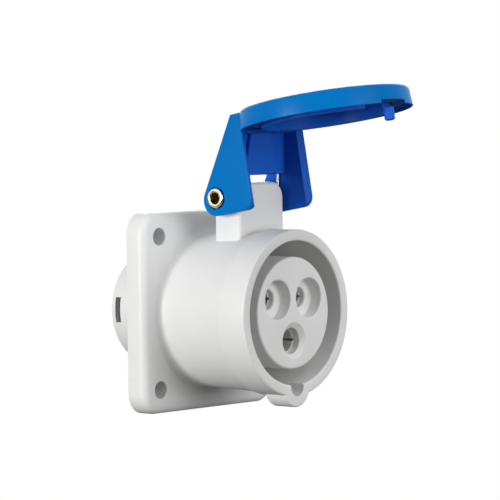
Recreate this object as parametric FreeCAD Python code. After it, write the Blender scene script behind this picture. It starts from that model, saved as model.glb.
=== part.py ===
import FreeCAD, Part
import math
import os

# Industrial panel socket, 16 A, three poles, shown with its lid open.
# Millimetres. X runs to the right as one faces the socket, Y runs back through the panel, Z runs up.
# The origin is on the socket's axis, in the plane where the flange meets the panel.
# The lid is built shut, in line with the collar, and then swung open about its pin.

# Flange
flange_thickness = 7.0
flange_corner_radius = 6.5
flange_edge_radius = 2.4
fixing_edge_distance = 7.5
fixing_hole_radius = 2.75

# Gasket in the back of the flange
flange_rim = 2.4
gasket_sheet_thickness = 1.6
gasket_inner_wall = 2.6
gasket_band = 3.5
gasket_side_clearance = 0.2

# Collar and barrel
collar_length = 42.4
collar_wall = 3.5
plug_ring_room = 5.0
collar_band_length = 10.6
collar_edge_radius = 0.6
collar_band_step = 0.7
barrel_taper = 0.9
barrel_root_fillet = 2.2
floor_front = 7.2

# Keyway at the bottom of the collar
keyway_half_width = 3.1
keyway_depth = 3.5
keyway_length = 9.0
keyway_bump_radius = 6.3
keyway_bump_drop = 6.9
keyway_bump_slope = 3.0

# Contact carrier
carrier_radius = 17.5
carrier_recess = 1.2
carrier_edge_radius = 0.7
carrier_gap = 0.2
carrier_flange_land = 5.3
carrier_flange_thickness = 2.6
carrier_key_width = 3.0
carrier_key_height = 1.2
carrier_key_gap = 0.15
pole_inset = 8.75
guide_radius = 6.15
guide_depth = 4.15
guide_hole_radius = 3.1
guide_floor = 2.0
guide_rim_radius = 0.35
guide_hole_rim_radius = 0.6
earth_hole_radius = 4.1
earth_flare_radius = 5.85
earth_flare_depth = 1.0
earth_floor = 2.6

# Contacts
pin_radius_small = 2.5
pin_radius_earth = 3.5
pin_play = 0.05
sleeve_wall = 1.35
sleeve_slot_width = 0.7
sleeve_slot_length = 17.0
shoulder_height = 0.9
shoulder_front = 9.5
shoulder_length = 2.0
contact_gap = 0.1
terminal_radius = 4.4
terminal_back = 13.0
wire_bore_radius = 2.1
wire_bore_depth = 10.0
clip_thickness = 0.5
clip_width = 3.0
clip_seat_depth = 0.3
clip_from_front = 2.0
clip_opening = 1.4
clip_room = 0.35

# Screws
terminal_screw_radius = 2.0
terminal_screw_head_radius = 3.0
terminal_screw_head_height = 1.9
terminal_screw_depth = 8.0
screw_slot_width = 0.9
screw_slot_depth = 0.9
carrier_screw_inset = 2.4
carrier_screw_radius = 1.45
carrier_screw_head_radius = 2.6
carrier_screw_head_height = 1.5
carrier_screw_length = 6.2
screw_hole_gap = 0.15
shroud_screw_radius = 1.75
shroud_screw_head_radius = 3.2
shroud_screw_head_height = 1.6
shroud_screw_length = 12.0
shroud_screw_seat = 1.4

# Terminal shroud behind the flange
shroud_step = 0.3
shroud_wall = 2.0
shroud_length = 19.5
shroud_back_wall = 1.8
shroud_edge_radius = 1.2
shroud_spigot_height = 1.8
shroud_spigot_wall = 1.4
shroud_gap = 0.2
window_width = 8.0
window_length = 2.1
window_back_wall = 2.0
driver_hole_radius = 3.2
funnel_bore_radius = 3.6
funnel_wall = 1.3
funnel_flare = 0.9
post_radius = 3.3

# Hinge bracket on the barrel
pin_rise = 9.9
pin_from_front = 19.5
bracket_half_width = 11.03
bracket_front_reach = 5.95
bracket_back_reach = 4.3
bracket_crown = 4.7
bracket_corner_radius = 5.0
bracket_edge_radius = 1.4

# Hollow hinge pin
pin_radius = 2.25
pin_bore_radius = 1.85
pin_play_in_bracket = 0.06
pin_head_radius = 3.1
pin_head_height = 0.7
pin_head_rounding = 0.55
pin_mouth_rounding = 0.35

# Lid spring
wire_radius = 0.45
coil_play = 0.08
coil_turns = 6
coil_pitch = 0.95
coil_cheek_gap = 1.2
spring_leg_up = 12.0
spring_leg_down = 7.5
spring_room = 0.5
spring_leg_hole_gap = 0.15

# Lid
lid_open_angle = 100.0
rim_skirt = 0.6
rim_draft = 0.5
rim_lap = 0.95
rim_gap = 0.3
rim_height = 6.6
rim_wall = 2.0
lid_wall = 2.3
lid_edge_radius = 1.3
lid_crown = 0.5
seal_gap = 0.3
ring_gap = 2.2
ring_wall = 1.4
ring_reach = 0.45
peg_radius = 1.6
peg_beyond_bore = 1.5
peg_reach = 4.9
peg_tip_radius = 0.65

# Cheeks and web of the lid
cheek_side_gap = 1.77
cheek_wall = 2.5
cheek_front = 14.1
cheek_bottom = 5.5
cheek_corner_radius = 2.6
cheek_edge_radius = 0.5
knuckle_radius = 4.9
knuckle_boss_radius = 4.4
knuckle_side_gap = 0.2
neck_back_lean = 35.0
neck_top_drop = 0.6
neck_top_radius = 0.8
front_room_drop = 1.2
web_swing_gap = 0.25
web_wall = 1.5
web_panel_raise = 1.2
web_panel_bottom_half = 7.9
web_panel_top_half = 4.9
web_spring_gap = 0.05
cut_margin = 1.0

# Worked out from the sizes above
collar_bore_radius = carrier_radius + plug_ring_room
collar_outer_radius = collar_bore_radius + collar_wall
barrel_front_radius = collar_outer_radius - collar_band_step
barrel_root_radius = barrel_front_radius - barrel_taper
carrier_flange_radius = carrier_radius + carrier_flange_land
pole_circle_radius = carrier_radius - pole_inset
carrier_screw_circle = carrier_flange_radius - carrier_screw_inset
gasket_inner_radius = carrier_flange_radius + carrier_gap + gasket_inner_wall
flange_width = 2 * (gasket_inner_radius + gasket_band + flange_rim)
fixing_spacing = flange_width - 2 * fixing_edge_distance
shroud_radius = carrier_radius + shroud_step
pin_height = collar_outer_radius + pin_rise
pin_depth = collar_length - pin_from_front
bracket_front_depth = pin_depth + bracket_front_reach
bracket_back_depth = pin_depth - bracket_back_reach
bracket_top = pin_height + bracket_crown
rim_radius = collar_outer_radius + rim_gap + rim_skirt
peg_circle_radius = collar_bore_radius + peg_beyond_bore
cheek_outer = bracket_half_width + cheek_side_gap + cheek_wall
carrier_face = -(collar_length - carrier_recess)
rim_y = -(collar_length - rim_lap)
lid_top_y = rim_y - rim_height
lid_ceiling_y = lid_top_y + lid_wall
seal_y = -(collar_length + seal_gap)
lap_radius = collar_outer_radius + rim_gap
rim_inner_radius = rim_radius - rim_wall
web_lean_angle = lid_open_angle - 90
web_bottom = bracket_front_reach + web_swing_gap
ring_outer_radius = collar_bore_radius - ring_gap
front_room_top = -seal_y - pin_depth - front_room_drop
coil_radius = pin_radius + coil_play + wire_radius
coil_first_x = cheek_outer - cheek_wall - coil_cheek_gap - coil_turns * coil_pitch
pin_point = FreeCAD.Vector(0, -pin_depth, pin_height)
shroud_inner_radius = shroud_radius - shroud_wall
poles = {"line": 150.0, "neutral": 30.0, "earth": 270.0}
carrier_screw_angles = (90.0, 210.0, 330.0)


def point(x, y, z):
    """Return a point of the model."""
    return FreeCAD.Vector(x, y, z)


def rod(radius, y_from, y_to, x=0.0, z=0.0):
    """Return a cylinder that runs along Y between two depths."""
    return Part.makeCylinder(radius, y_to - y_from, point(x, y_from, z), point(0, 1, 0))


def cone(radius_from, radius_to, y_from, y_to, x=0.0, z=0.0):
    """Return a cone along Y, with a radius at each of its two depths."""
    return Part.makeCone(radius_from, radius_to, y_to - y_from, point(x, y_from, z), point(0, 1, 0))


def cross_rod(radius, x_from, x_to):
    """Return a cylinder along X on the hinge axis."""
    start = point(x_from, pin_point.y, pin_point.z)
    return Part.makeCylinder(radius, x_to - x_from, start, point(1, 0, 0))


def block(x_range, y_range, z_range):
    """Return a box between three pairs of limits."""
    size = [high - low for low, high in (x_range, y_range, z_range)]
    return Part.makeBox(size[0], size[1], size[2], point(x_range[0], y_range[0], z_range[0]))


def on_circle(radius, angle):
    """Return x and z of a place on a circle about the socket's axis, seen from the front."""
    turn = math.radians(angle)
    return radius * math.cos(turn), radius * math.sin(turn)


def rounded_outline(corners):
    """Return a closed wire through corners given as (point, radius), with an arc at each rounded one."""
    edges = []
    starts = []
    ends = []
    for index, (corner, radius) in enumerate(corners):
        before = (corners[index - 1][0] - corner).normalize()
        after = (corners[(index + 1) % len(corners)][0] - corner).normalize()
        half_angle = before.getAngle(after) / 2
        reach = radius / math.tan(half_angle)
        starts.append(corner + before * reach)
        ends.append(corner + after * reach)
        if radius > 0:
            inward = (before + after).normalize()
            middle = corner + inward * (radius / math.sin(half_angle) - radius)
            edges.append(Part.Arc(starts[-1], middle, ends[-1]).toShape())
    for index in range(len(corners)):
        start = ends[index]
        end = starts[(index + 1) % len(corners)]
        if start.distanceToPoint(end) > 1e-6:
            edges.append(Part.makeLine(start, end))
    return Part.Wire(Part.__sortEdges__(edges))


def round_edges(shape, radius, wanted):
    """Round the edges of a shape for which wanted(edge) is true."""
    edges = [edge for edge in shape.Edges if wanted(edge)]
    return shape.makeFillet(radius, edges)


def is_circle(edge, radius, y):
    """Tell whether an edge is a circle about a line along Y, of this radius and at this depth."""
    if not isinstance(edge.Curve, Part.Circle):
        return False
    same_radius = abs(edge.Curve.Radius - radius) < 1e-4
    return same_radius and abs(edge.Curve.Center.y - y) < 1e-4 and abs(edge.Curve.Axis.y) > 0.999


def rounded_square(width, corner_radius, y_from, y_to):
    """Return a square plate with rounded corners, square to Y."""
    half = width / 2
    corners = []
    for x, z in ((-half, -half), (half, -half), (half, half), (-half, half)):
        corners.append((point(x, y_from, z), corner_radius))
    return Part.Face(rounded_outline(corners)).extrude(point(0, y_to - y_from, 0))


def fixing_places():
    """Return x and z of the four fixing holes."""
    half = fixing_spacing / 2
    return [(x, z) for x in (-half, half) for z in (-half, half)]


def flange_plate():
    """Return the flange with its front edges rounded."""
    plate = rounded_square(flange_width, flange_corner_radius, -flange_thickness, 0)

    def at_front(edge):
        return all(abs(vertex.Y + flange_thickness) < 1e-4 for vertex in edge.Vertexes)

    return round_edges(plate, flange_edge_radius, at_front)


def barrel_tube():
    """Return the barrel and its front band, turned as one solid with no bore yet."""
    band_y = -(collar_length - collar_band_length)
    outline = [
        point(0, 0, 0),
        point(barrel_root_radius, 0, 0),
        point(barrel_root_radius, -flange_thickness, 0),
        point(barrel_front_radius, band_y, 0),
        point(collar_outer_radius, band_y - (collar_outer_radius - barrel_front_radius), 0),
        point(collar_outer_radius, -collar_length, 0),
        point(0, -collar_length, 0),
    ]
    face = Part.Face(Part.makePolygon(outline + outline[:1]))
    return face.revolve(point(0, 0, 0), point(0, 1, 0), 360)


def keyway_centre():
    """Return z of the centre of the keyway's round bottom."""
    return -(collar_bore_radius + keyway_depth - keyway_half_width)


def bump_centre():
    """Return z of the centre of the keyway bump's round outline."""
    return -(collar_bore_radius + keyway_bump_drop - keyway_bump_radius)


def keyway_bump():
    """Return the bump that holds the keyway, with its back end sloped down to the barrel."""
    front = -collar_length
    back = front + collar_band_length
    centre_z = bump_centre()
    body = rod(keyway_bump_radius, front, back - keyway_bump_slope, 0, centre_z)
    tail_radius = keyway_bump_radius - (collar_bore_radius + keyway_bump_drop - barrel_front_radius) / 2
    tail = Part.makeLoft([
        Part.Wire(Part.makeCircle(keyway_bump_radius, point(0, back - keyway_bump_slope, centre_z),
                                  point(0, 1, 0))),
        Part.Wire(Part.makeCircle(tail_radius, point(0, back, -(barrel_front_radius - tail_radius)),
                                  point(0, 1, 0))),
    ], True)
    return body.fuse(tail)


def keyway_groove():
    """Return the space of the keyway, a slot with a round bottom."""
    front = -collar_length
    centre_z = keyway_centre()
    bottom = rod(keyway_half_width, front, front + keyway_length, 0, centre_z)
    width = (-keyway_half_width, keyway_half_width)
    slot = block(width, (front, front + keyway_length), (centre_z, centre_z + keyway_half_width))
    return bottom.fuse(slot)


def bracket_block():
    """Return the hinge bracket, a block with rounded top corners and a rounded top front edge."""
    half = bracket_half_width
    front = -bracket_front_depth
    corners = [
        (point(-half, front, 0), 0),
        (point(half, front, 0), 0),
        (point(half, front, bracket_top), bracket_corner_radius),
        (point(-half, front, bracket_top), bracket_corner_radius),
    ]
    solid = Part.Face(rounded_outline(corners)).extrude(point(0, bracket_front_depth - bracket_back_depth, 0))
    corner_start = bracket_top - bracket_corner_radius

    def on_top_ends(edge):
        at_end = all(abs(abs(v.Y + (bracket_front_depth + bracket_back_depth) / 2)
                         - (bracket_front_depth - bracket_back_depth) / 2) < 1e-4 for v in edge.Vertexes)
        return at_end and all(v.Z > corner_start - 1e-4 for v in edge.Vertexes)

    return round_edges(solid, bracket_edge_radius, on_top_ends)


def spring_recess():
    """Return the room for the spring, behind the bracket's front wall and open to the right."""
    reach = coil_radius + wire_radius + spring_room
    x_range = (coil_first_x - wire_radius - spring_room, bracket_half_width + cut_margin)
    y_range = (-pin_depth - reach, -bracket_back_depth + cut_margin)
    return block(x_range, y_range, (pin_height - reach, bracket_top + cut_margin))


def spring_leg_hole():
    """Return the hole in the bracket that holds the spring's fixed leg."""
    coil = spring_coil_line()
    start = coil.valueAt(coil.FirstParameter)
    down = coil.tangentAt(coil.FirstParameter) * -1
    length = spring_leg_down + spring_leg_hole_gap
    return Part.makeCylinder(wire_radius + spring_leg_hole_gap, length, start, down)


def carrier_key(gap):
    """Return the rib that sets the carrier's hour position, grown by a gap for its notch."""
    half = carrier_key_width / 2 + gap
    top = -(carrier_radius - carrier_key_height)
    return block((-half, half), (-floor_front, -carrier_flange_thickness),
                 (-(carrier_radius + carrier_key_height + gap), top))


def socket_housing():
    """Return the housing: flange, barrel, collar, keyway bump and hinge bracket in one moulding."""
    shell = flange_plate().fuse(barrel_tube()).removeSplitter()
    shell = round_edges(shell, barrel_root_fillet,
                        lambda edge: is_circle(edge, barrel_root_radius, -flange_thickness))
    shell = shell.fuse([keyway_bump(), bracket_block()]).removeSplitter()
    shell = shell.cut(rod(collar_bore_radius, -collar_length, -floor_front))
    shell = shell.cut(keyway_groove())
    shell = shell.cut(rod(carrier_radius + carrier_gap, -floor_front, 0))
    shell = shell.cut(rod(carrier_flange_radius + carrier_gap, -carrier_flange_thickness, 0))
    shell = shell.cut(carrier_key(carrier_key_gap))
    shell = shell.cut(gasket_sheet(0))
    for x, z in fixing_places():
        shell = shell.cut(rod(fixing_hole_radius, -flange_thickness, 0, x, z))
    for angle in carrier_screw_angles:
        x, z = on_circle(carrier_screw_circle, angle)
        shell = shell.cut(rod(carrier_screw_radius, -carrier_screw_length, 0, x, z))
    shell = shell.cut(spring_recess())
    shell = shell.cut(spring_leg_hole())
    shell = shell.cut(cross_rod(pin_radius + pin_play_in_bracket, -bracket_half_width, bracket_half_width))
    return round_edges(shell, collar_edge_radius, at_collar_mouth)


def at_collar_mouth(edge):
    """Tell whether an edge is the collar's front bore edge or its front outer edge."""
    return (is_circle(edge, collar_bore_radius, -collar_length)
            or is_circle(edge, collar_outer_radius, -collar_length)
            or is_circle(edge, keyway_bump_radius, -collar_length))


def gasket_sheet(side_clearance):
    """Return the flange gasket, or with no clearance the room for it."""
    width = flange_width - 2 * (flange_rim + side_clearance)
    corner = flange_corner_radius - flange_rim
    sheet = rounded_square(width, corner, -gasket_sheet_thickness, 0)
    return sheet.cut(rod(gasket_inner_radius + side_clearance, -gasket_sheet_thickness, 0))


def flange_gasket():
    """Return the flat rubber gasket with its four screw holes."""
    sheet = gasket_sheet(gasket_side_clearance)
    for x, z in fixing_places():
        sheet = sheet.cut(rod(fixing_hole_radius, -gasket_sheet_thickness, 0, x, z))
    return sheet


def pin_radius_of(pole):
    """Return the radius of the plug pin that a pole takes."""
    return pin_radius_earth if pole == "earth" else pin_radius_small


def sleeve_bore_of(pole):
    """Return the bore radius of a pole's sleeve."""
    return pin_radius_of(pole) + pin_play


def sleeve_radius_of(pole):
    """Return the outer radius of a pole's sleeve."""
    return sleeve_bore_of(pole) + sleeve_wall


def sleeve_front_of(pole):
    """Return the depth of a sleeve's front end, behind the floor of its guide hole."""
    if pole == "earth":
        return carrier_face + earth_flare_depth + earth_floor
    return carrier_face + guide_depth + guide_floor


def cavity_radius_of(pole):
    """Return the radius of the carrier's hole around a sleeve and its clip."""
    return sleeve_radius_of(pole) - clip_seat_depth + clip_thickness + clip_room


def shoulder_radius_of(pole):
    """Return the radius of the shoulder that stops a contact in the carrier."""
    return cavity_radius_of(pole) + shoulder_height


def pole_hole(pole):
    """Return everything that is bored through the carrier for one pole."""
    x, z = on_circle(pole_circle_radius, poles[pole])
    front = sleeve_front_of(pole)
    if pole == "earth":
        mouth = cone(earth_flare_radius, earth_hole_radius, carrier_face, carrier_face + earth_flare_depth, x, z)
        guide = rod(earth_hole_radius, carrier_face, front, x, z)
    else:
        mouth = rod(guide_radius, carrier_face, carrier_face + guide_depth, x, z)
        guide = rod(guide_hole_radius, carrier_face, front, x, z)
    cavity = rod(cavity_radius_of(pole), front, 0, x, z)
    shoulder = rod(shoulder_radius_of(pole) + contact_gap, -shoulder_front, 0, x, z)
    return mouth.fuse([guide, cavity, shoulder])


def screw_seat_front():
    """Return the depth of the front of the shroud's seat for its screw."""
    return shroud_length - shroud_screw_head_height - shroud_screw_seat


def contact_carrier():
    """Return the insert that holds the three contacts and shows its face in the collar."""
    drum = rod(carrier_radius, carrier_face, -carrier_flange_thickness)
    drum = round_edges(drum, carrier_edge_radius, lambda edge: is_circle(edge, carrier_radius, carrier_face))
    flange = rod(carrier_flange_radius, -carrier_flange_thickness, 0)
    spigot_radius = shroud_inner_radius - shroud_gap
    spigot = rod(spigot_radius, 0, shroud_spigot_height)
    spigot = spigot.cut(rod(spigot_radius - shroud_spigot_wall, 0, shroud_spigot_height))
    post_end = screw_seat_front() - contact_gap
    post = rod(post_radius, -carrier_flange_thickness, post_end)
    solid = drum.fuse([flange, spigot, post, carrier_key(0)]).removeSplitter()
    for pole in poles:
        solid = solid.cut(pole_hole(pole))
    thread_end = shroud_length - shroud_screw_length - screw_hole_gap
    solid = solid.cut(rod(shroud_screw_radius, thread_end, post_end))
    for angle in carrier_screw_angles:
        x, z = on_circle(carrier_screw_circle, angle)
        solid = solid.cut(rod(carrier_screw_radius + screw_hole_gap, -carrier_flange_thickness, 0, x, z))
        solid = solid.cut(cone(carrier_screw_radius, carrier_screw_head_radius,
                               -carrier_screw_head_height, 0, x, z))
    guide_floor_y = carrier_face + guide_depth
    solid = round_edges(solid, guide_rim_radius, lambda edge: is_circle(edge, guide_radius, carrier_face))
    return round_edges(solid, guide_hole_rim_radius,
                       lambda edge: is_circle(edge, guide_hole_radius, guide_floor_y))


def screw_slot(head_radius, y_from, y_to, x=0.0, z=0.0):
    """Return the driver slot of a screw whose head lies square to Y."""
    return block((x - head_radius, x + head_radius), (y_from, y_to),
                 (z - screw_slot_width / 2, z + screw_slot_width / 2))


def carrier_screws():
    """Return the three countersunk screws that fix the carrier to the housing."""
    screws = []
    for angle in carrier_screw_angles:
        x, z = on_circle(carrier_screw_circle, angle)
        shank = rod(carrier_screw_radius, -carrier_screw_length, -carrier_screw_head_height, x, z)
        head = cone(carrier_screw_radius, carrier_screw_head_radius, -carrier_screw_head_height, 0, x, z)
        slot = screw_slot(carrier_screw_head_radius, -screw_slot_depth, 0, x, z)
        screws.append(shank.fuse(head).removeSplitter().cut(slot))
    return Part.makeCompound(screws)


def shroud_screw():
    """Return the central screw that holds the shroud to the carrier's post."""
    head_front = shroud_length - shroud_screw_head_height
    shank = rod(shroud_screw_radius, shroud_length - shroud_screw_length, head_front)
    head = rod(shroud_screw_head_radius, head_front, shroud_length)
    slot = screw_slot(shroud_screw_head_radius, shroud_length - screw_slot_depth, shroud_length)
    return shank.fuse(head).removeSplitter().cut(slot)


def radial_rod(radius, pole, start, end, y):
    """Return a cylinder that runs outwards from a contact's own axis, square to Y."""
    x, z = on_circle(pole_circle_radius + start, poles[pole])
    outward = on_circle(1.0, poles[pole])
    return Part.makeCylinder(radius, end - start, point(x, y, z), point(outward[0], 0, outward[1]))


def contact(pole):
    """Return a turned contact: slotted sleeve, shoulder and wire terminal in one piece."""
    x, z = on_circle(pole_circle_radius, poles[pole])
    front = sleeve_front_of(pole) + contact_gap
    sleeve_radius = sleeve_radius_of(pole)
    bore_end = -shoulder_front + shoulder_length
    body = rod(sleeve_radius, front, -shoulder_front, x, z)
    shoulder = rod(shoulder_radius_of(pole), -shoulder_front, bore_end, x, z)
    terminal = rod(terminal_radius, bore_end, terminal_back, x, z)
    solid = body.fuse([shoulder, terminal]).removeSplitter()
    solid = solid.cut(rod(sleeve_bore_of(pole), front, bore_end, x, z))
    solid = solid.cut(rod(wire_bore_radius, terminal_back - wire_bore_depth, terminal_back, x, z))
    seat_front = front + clip_from_front
    seat = rod(sleeve_radius + cut_margin, seat_front, seat_front + clip_width + contact_gap, x, z)
    solid = solid.cut(seat.cut(rod(sleeve_radius - clip_seat_depth, -collar_length, 0, x, z)))
    half_slot = sleeve_slot_width / 2
    slot_y = (front, front + sleeve_slot_length)
    reach = sleeve_radius + cut_margin
    slots = block((x - half_slot, x + half_slot), slot_y, (z - reach, z + reach))
    slots = slots.fuse(block((x - reach, x + reach), slot_y, (z - half_slot, z + half_slot)))
    solid = solid.cut(slots)
    thread = radial_rod(terminal_screw_radius, pole, 0, terminal_radius + cut_margin, terminal_screw_depth)
    return solid.cut(thread)


def contact_spring(pole):
    """Return the steel clip that grips a sleeve's slotted front, open at one side."""
    x, z = on_circle(pole_circle_radius, poles[pole])
    inner = sleeve_radius_of(pole) - clip_seat_depth
    front = sleeve_front_of(pole) + contact_gap + clip_from_front + contact_gap / 2
    clip = rod(inner + clip_thickness, front, front + clip_width, x, z)
    clip = clip.cut(rod(inner, front, front + clip_width, x, z))
    out = inner + clip_thickness + cut_margin
    opening = block((x, x + out), (front, front + clip_width), (z - clip_opening / 2, z + clip_opening / 2))
    opening.rotate(point(x, 0, z), point(0, 1, 0), -poles[pole] - 45)
    return clip.cut(opening)


def terminal_screws():
    """Return the three cheese-head screws that clamp the wires."""
    screws = []
    head_end = terminal_radius + terminal_screw_head_height
    for pole in poles:
        shank = radial_rod(terminal_screw_radius, pole, wire_bore_radius, terminal_radius, terminal_screw_depth)
        head = radial_rod(terminal_screw_head_radius, pole, terminal_radius, head_end, terminal_screw_depth)
        slot_out = on_circle(pole_circle_radius + head_end, poles[pole])
        slot = Part.makeBox(screw_slot_depth, 2 * terminal_screw_head_radius, screw_slot_width,
                            point(-screw_slot_depth, -terminal_screw_head_radius, -screw_slot_width / 2))
        slot.rotate(point(0, 0, 0), point(0, 1, 0), -poles[pole])
        slot.translate(point(slot_out[0], terminal_screw_depth, slot_out[1]))
        screws.append(shank.fuse(head).removeSplitter().cut(slot))
    return Part.makeCompound(screws)


def terminal_shroud():
    """Return the cup behind the flange, with wire funnels, side windows and driver holes."""
    inner_end = shroud_length - shroud_back_wall
    cup = rod(shroud_radius, 0, shroud_length)
    cup = round_edges(cup, shroud_edge_radius, lambda edge: is_circle(edge, shroud_radius, shroud_length))
    cup = cup.cut(rod(shroud_inner_radius, 0, inner_end))
    head_room = shroud_screw_head_radius + screw_hole_gap
    solids = [rod(head_room + funnel_wall, screw_seat_front(), inner_end)]
    for pole in poles:
        x, z = on_circle(pole_circle_radius, poles[pole])
        solids.append(rod(funnel_bore_radius + funnel_wall, terminal_back + contact_gap, inner_end, x, z))
    cup = cup.fuse(solids).removeSplitter()
    for pole in poles:
        x, z = on_circle(pole_circle_radius, poles[pole])
        cup = cup.cut(rod(funnel_bore_radius, terminal_back, shroud_length, x, z))
        flare_radius = funnel_bore_radius + funnel_flare
        cup = cup.cut(cone(funnel_bore_radius, flare_radius, shroud_length - funnel_flare, shroud_length, x, z))
        cup = cup.cut(radial_rod(driver_hole_radius, pole, terminal_radius, shroud_radius, terminal_screw_depth))
    cup = cup.cut(rod(shroud_screw_radius + screw_hole_gap, 0, shroud_length))
    cup = cup.cut(rod(head_room, shroud_length - shroud_screw_head_height, shroud_length))
    window_back = shroud_length - window_back_wall
    window = block((-shroud_radius, shroud_radius), (window_back - window_length, window_back),
                   (-window_width / 2, window_width / 2))
    return cup.cut(window.cut(rod(shroud_inner_radius, 0, shroud_length)))


def hinge_pin():
    """Return the hollow rivet that carries the lid, flared at both ends."""
    outer = cheek_outer + pin_head_height
    tube = cross_rod(pin_radius, -outer, outer)
    for side in (-1, 1):
        low, high = sorted((side * cheek_outer, side * outer))
        head = cross_rod(pin_head_radius, low, high)
        head_edges = [edge for edge in head.Edges if isinstance(edge.Curve, Part.Circle)
                      and abs(edge.Curve.Center.x - side * outer) < 1e-4]
        tube = tube.fuse(head.makeFillet(pin_head_rounding, head_edges))
    tube = tube.removeSplitter()
    tube = tube.cut(cross_rod(pin_bore_radius, -outer, outer))
    mouth_edges = [edge for edge in tube.Edges if isinstance(edge.Curve, Part.Circle)
                   and abs(edge.Curve.Radius - pin_bore_radius) < 1e-4]
    return tube.makeFillet(pin_mouth_rounding, mouth_edges)


def spring_coil_line():
    """Return the centre line of the coil, which starts and ends at the front of the pin, running up."""
    helix = Part.makeHelix(coil_pitch, coil_pitch * coil_turns, coil_radius, 0, True)
    onto_pin = FreeCAD.Matrix(0, 0, 1, coil_first_x,
                              -1, 0, 0, pin_point.y,
                              0, -1, 0, pin_point.z,
                              0, 0, 0, 1)
    helix.transformShape(onto_pin)
    return helix.Edges[0]


def lid_spring():
    """Return the torsion spring: coil about the pin, one leg down the bracket and one up the web."""
    coil = spring_coil_line()
    start = coil.valueAt(coil.FirstParameter)
    end = coil.valueAt(coil.LastParameter)
    along = coil.tangentAt(coil.FirstParameter)
    foot = start - along * spring_leg_down
    tip = end + coil.tangentAt(coil.LastParameter) * spring_leg_up
    path = Part.Wire([Part.makeLine(foot, start), coil, Part.makeLine(end, tip)])
    section = Part.Wire(Part.makeCircle(wire_radius, foot, along))
    return path.makePipeShell([section], True, False)


def lid_solid_shut():
    """Return the shut lid: disc, rim, sealing ring, peg, cheeks and web in one moulding."""
    edge_y = lid_top_y + lid_crown
    corners = [
        (point(0, edge_y, 0), 0),
        (point(rim_radius - rim_draft, edge_y, 0), lid_edge_radius),
        (point(rim_radius, rim_y, 0), 0),
        (point(0, rim_y, 0), 0),
    ]
    disc = Part.Face(rounded_outline(corners)).revolve(point(0, 0, 0), point(0, 1, 0), 360)
    disc = disc.fuse(lid_dome(edge_y)).removeSplitter()
    disc = disc.cut(rod(lap_radius, seal_y, rim_y))
    disc = disc.cut(rod(keyway_bump_radius + rim_gap, seal_y, rim_y, 0, bump_centre()))
    disc = disc.cut(rod(rim_inner_radius, lid_ceiling_y, seal_y))
    ring_end = rim_y + ring_reach
    ring = rod(ring_outer_radius, lid_ceiling_y, ring_end)
    ring = ring.cut(rod(ring_outer_radius - ring_wall, lid_ceiling_y, ring_end))
    peg = rod(peg_radius, lid_ceiling_y, rim_y + peg_reach, 0, -peg_circle_radius)
    peg = round_edges(peg, peg_tip_radius, lambda edge: is_circle(edge, peg_radius, rim_y + peg_reach))
    solid = disc.fuse([ring, peg, lid_neck()]).removeSplitter()
    return solid.cut(cross_rod(pin_radius, -cheek_outer, cheek_outer))


def lid_dome(edge_y):
    """Return the low dome on the lid's outer face, a slice of a sphere."""
    foot = rim_radius - rim_draft - lid_edge_radius
    sphere_radius = (foot ** 2 + lid_crown ** 2) / (2 * lid_crown)
    sphere = Part.makeSphere(sphere_radius, point(0, lid_top_y + sphere_radius, 0))
    return sphere.common(rod(foot, lid_top_y - cut_margin, edge_y + cut_margin / 2))


def neck_point(down, ahead):
    """Return a place beside the pin of the shut lid, down towards the axis and ahead of the pin."""
    return point(0, pin_point.y - ahead, pin_point.z - down)


def neck_prism(corners, x_from, x_to):
    """Return a prism along X whose outline has corners (down, ahead, radius) about the pin."""
    wire = rounded_outline([(neck_point(down, ahead) + point(x_from, 0, 0), radius)
                            for down, ahead, radius in corners])
    return Part.Face(wire).extrude(point(x_to - x_from, 0, 0))


def on_cheek_outline(edge):
    """Tell whether an edge lies in the outer face of a cheek."""
    middle = edge.BoundBox.Center.x
    return abs(abs(middle) - cheek_outer) < 1e-3


def lid_neck():
    """Return the two cheeks and the web between them, with the knuckle around the pin."""
    lean = math.radians(neck_back_lean)
    top = -lid_top_y - neck_top_drop - pin_depth
    back_at_pin = -knuckle_radius / math.cos(lean)
    outline = [
        (back_at_pin - cheek_bottom * math.tan(lean), -cheek_bottom, knuckle_radius),
        (cheek_front, -cheek_bottom, cheek_corner_radius),
        (cheek_front, top, 0),
        (back_at_pin + top * math.tan(lean), top, neck_top_radius),
    ]
    neck = neck_prism(outline, -cheek_outer, cheek_outer)
    neck = round_edges(neck, cheek_edge_radius, on_cheek_outline)
    cheek_inner = cheek_outer - cheek_wall
    web_lean = math.tan(math.radians(web_lean_angle))
    web_back = (coil_radius + wire_radius + web_spring_gap) / math.cos(math.radians(web_lean_angle))
    web_front = web_back + web_wall
    ceiling = -lid_ceiling_y - pin_depth
    far = cheek_bottom + pin_height
    front_room = [
        (web_front - web_lean * far, -far, 0),
        (pin_height, -far, 0),
        (pin_height, front_room_top, 0),
        (web_front + web_lean * front_room_top, front_room_top, 0),
    ]
    back_room = [
        (web_back - web_lean * far, -far, 0),
        (web_back + web_lean * ceiling, ceiling, 0),
        (-pin_height, ceiling, 0),
        (-pin_height, -far, 0),
    ]
    below = [
        (-pin_height, -far, 0),
        (pin_height, -far, 0),
        (pin_height, web_bottom, 0),
        (-pin_height, web_bottom, 0),
    ]
    for room in (front_room, back_room, below):
        neck = neck.cut(neck_prism(room, -cheek_inner, cheek_inner))
    neck = neck.fuse(web_panel(web_front, web_lean))
    neck = neck.fuse(cross_rod(knuckle_boss_radius, -cheek_inner, -bracket_half_width - knuckle_side_gap))
    neck = neck.cut(rod(lap_radius, seal_y, 0))
    return neck.cut(rod(rim_inner_radius, lid_ceiling_y, seal_y))


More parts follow.
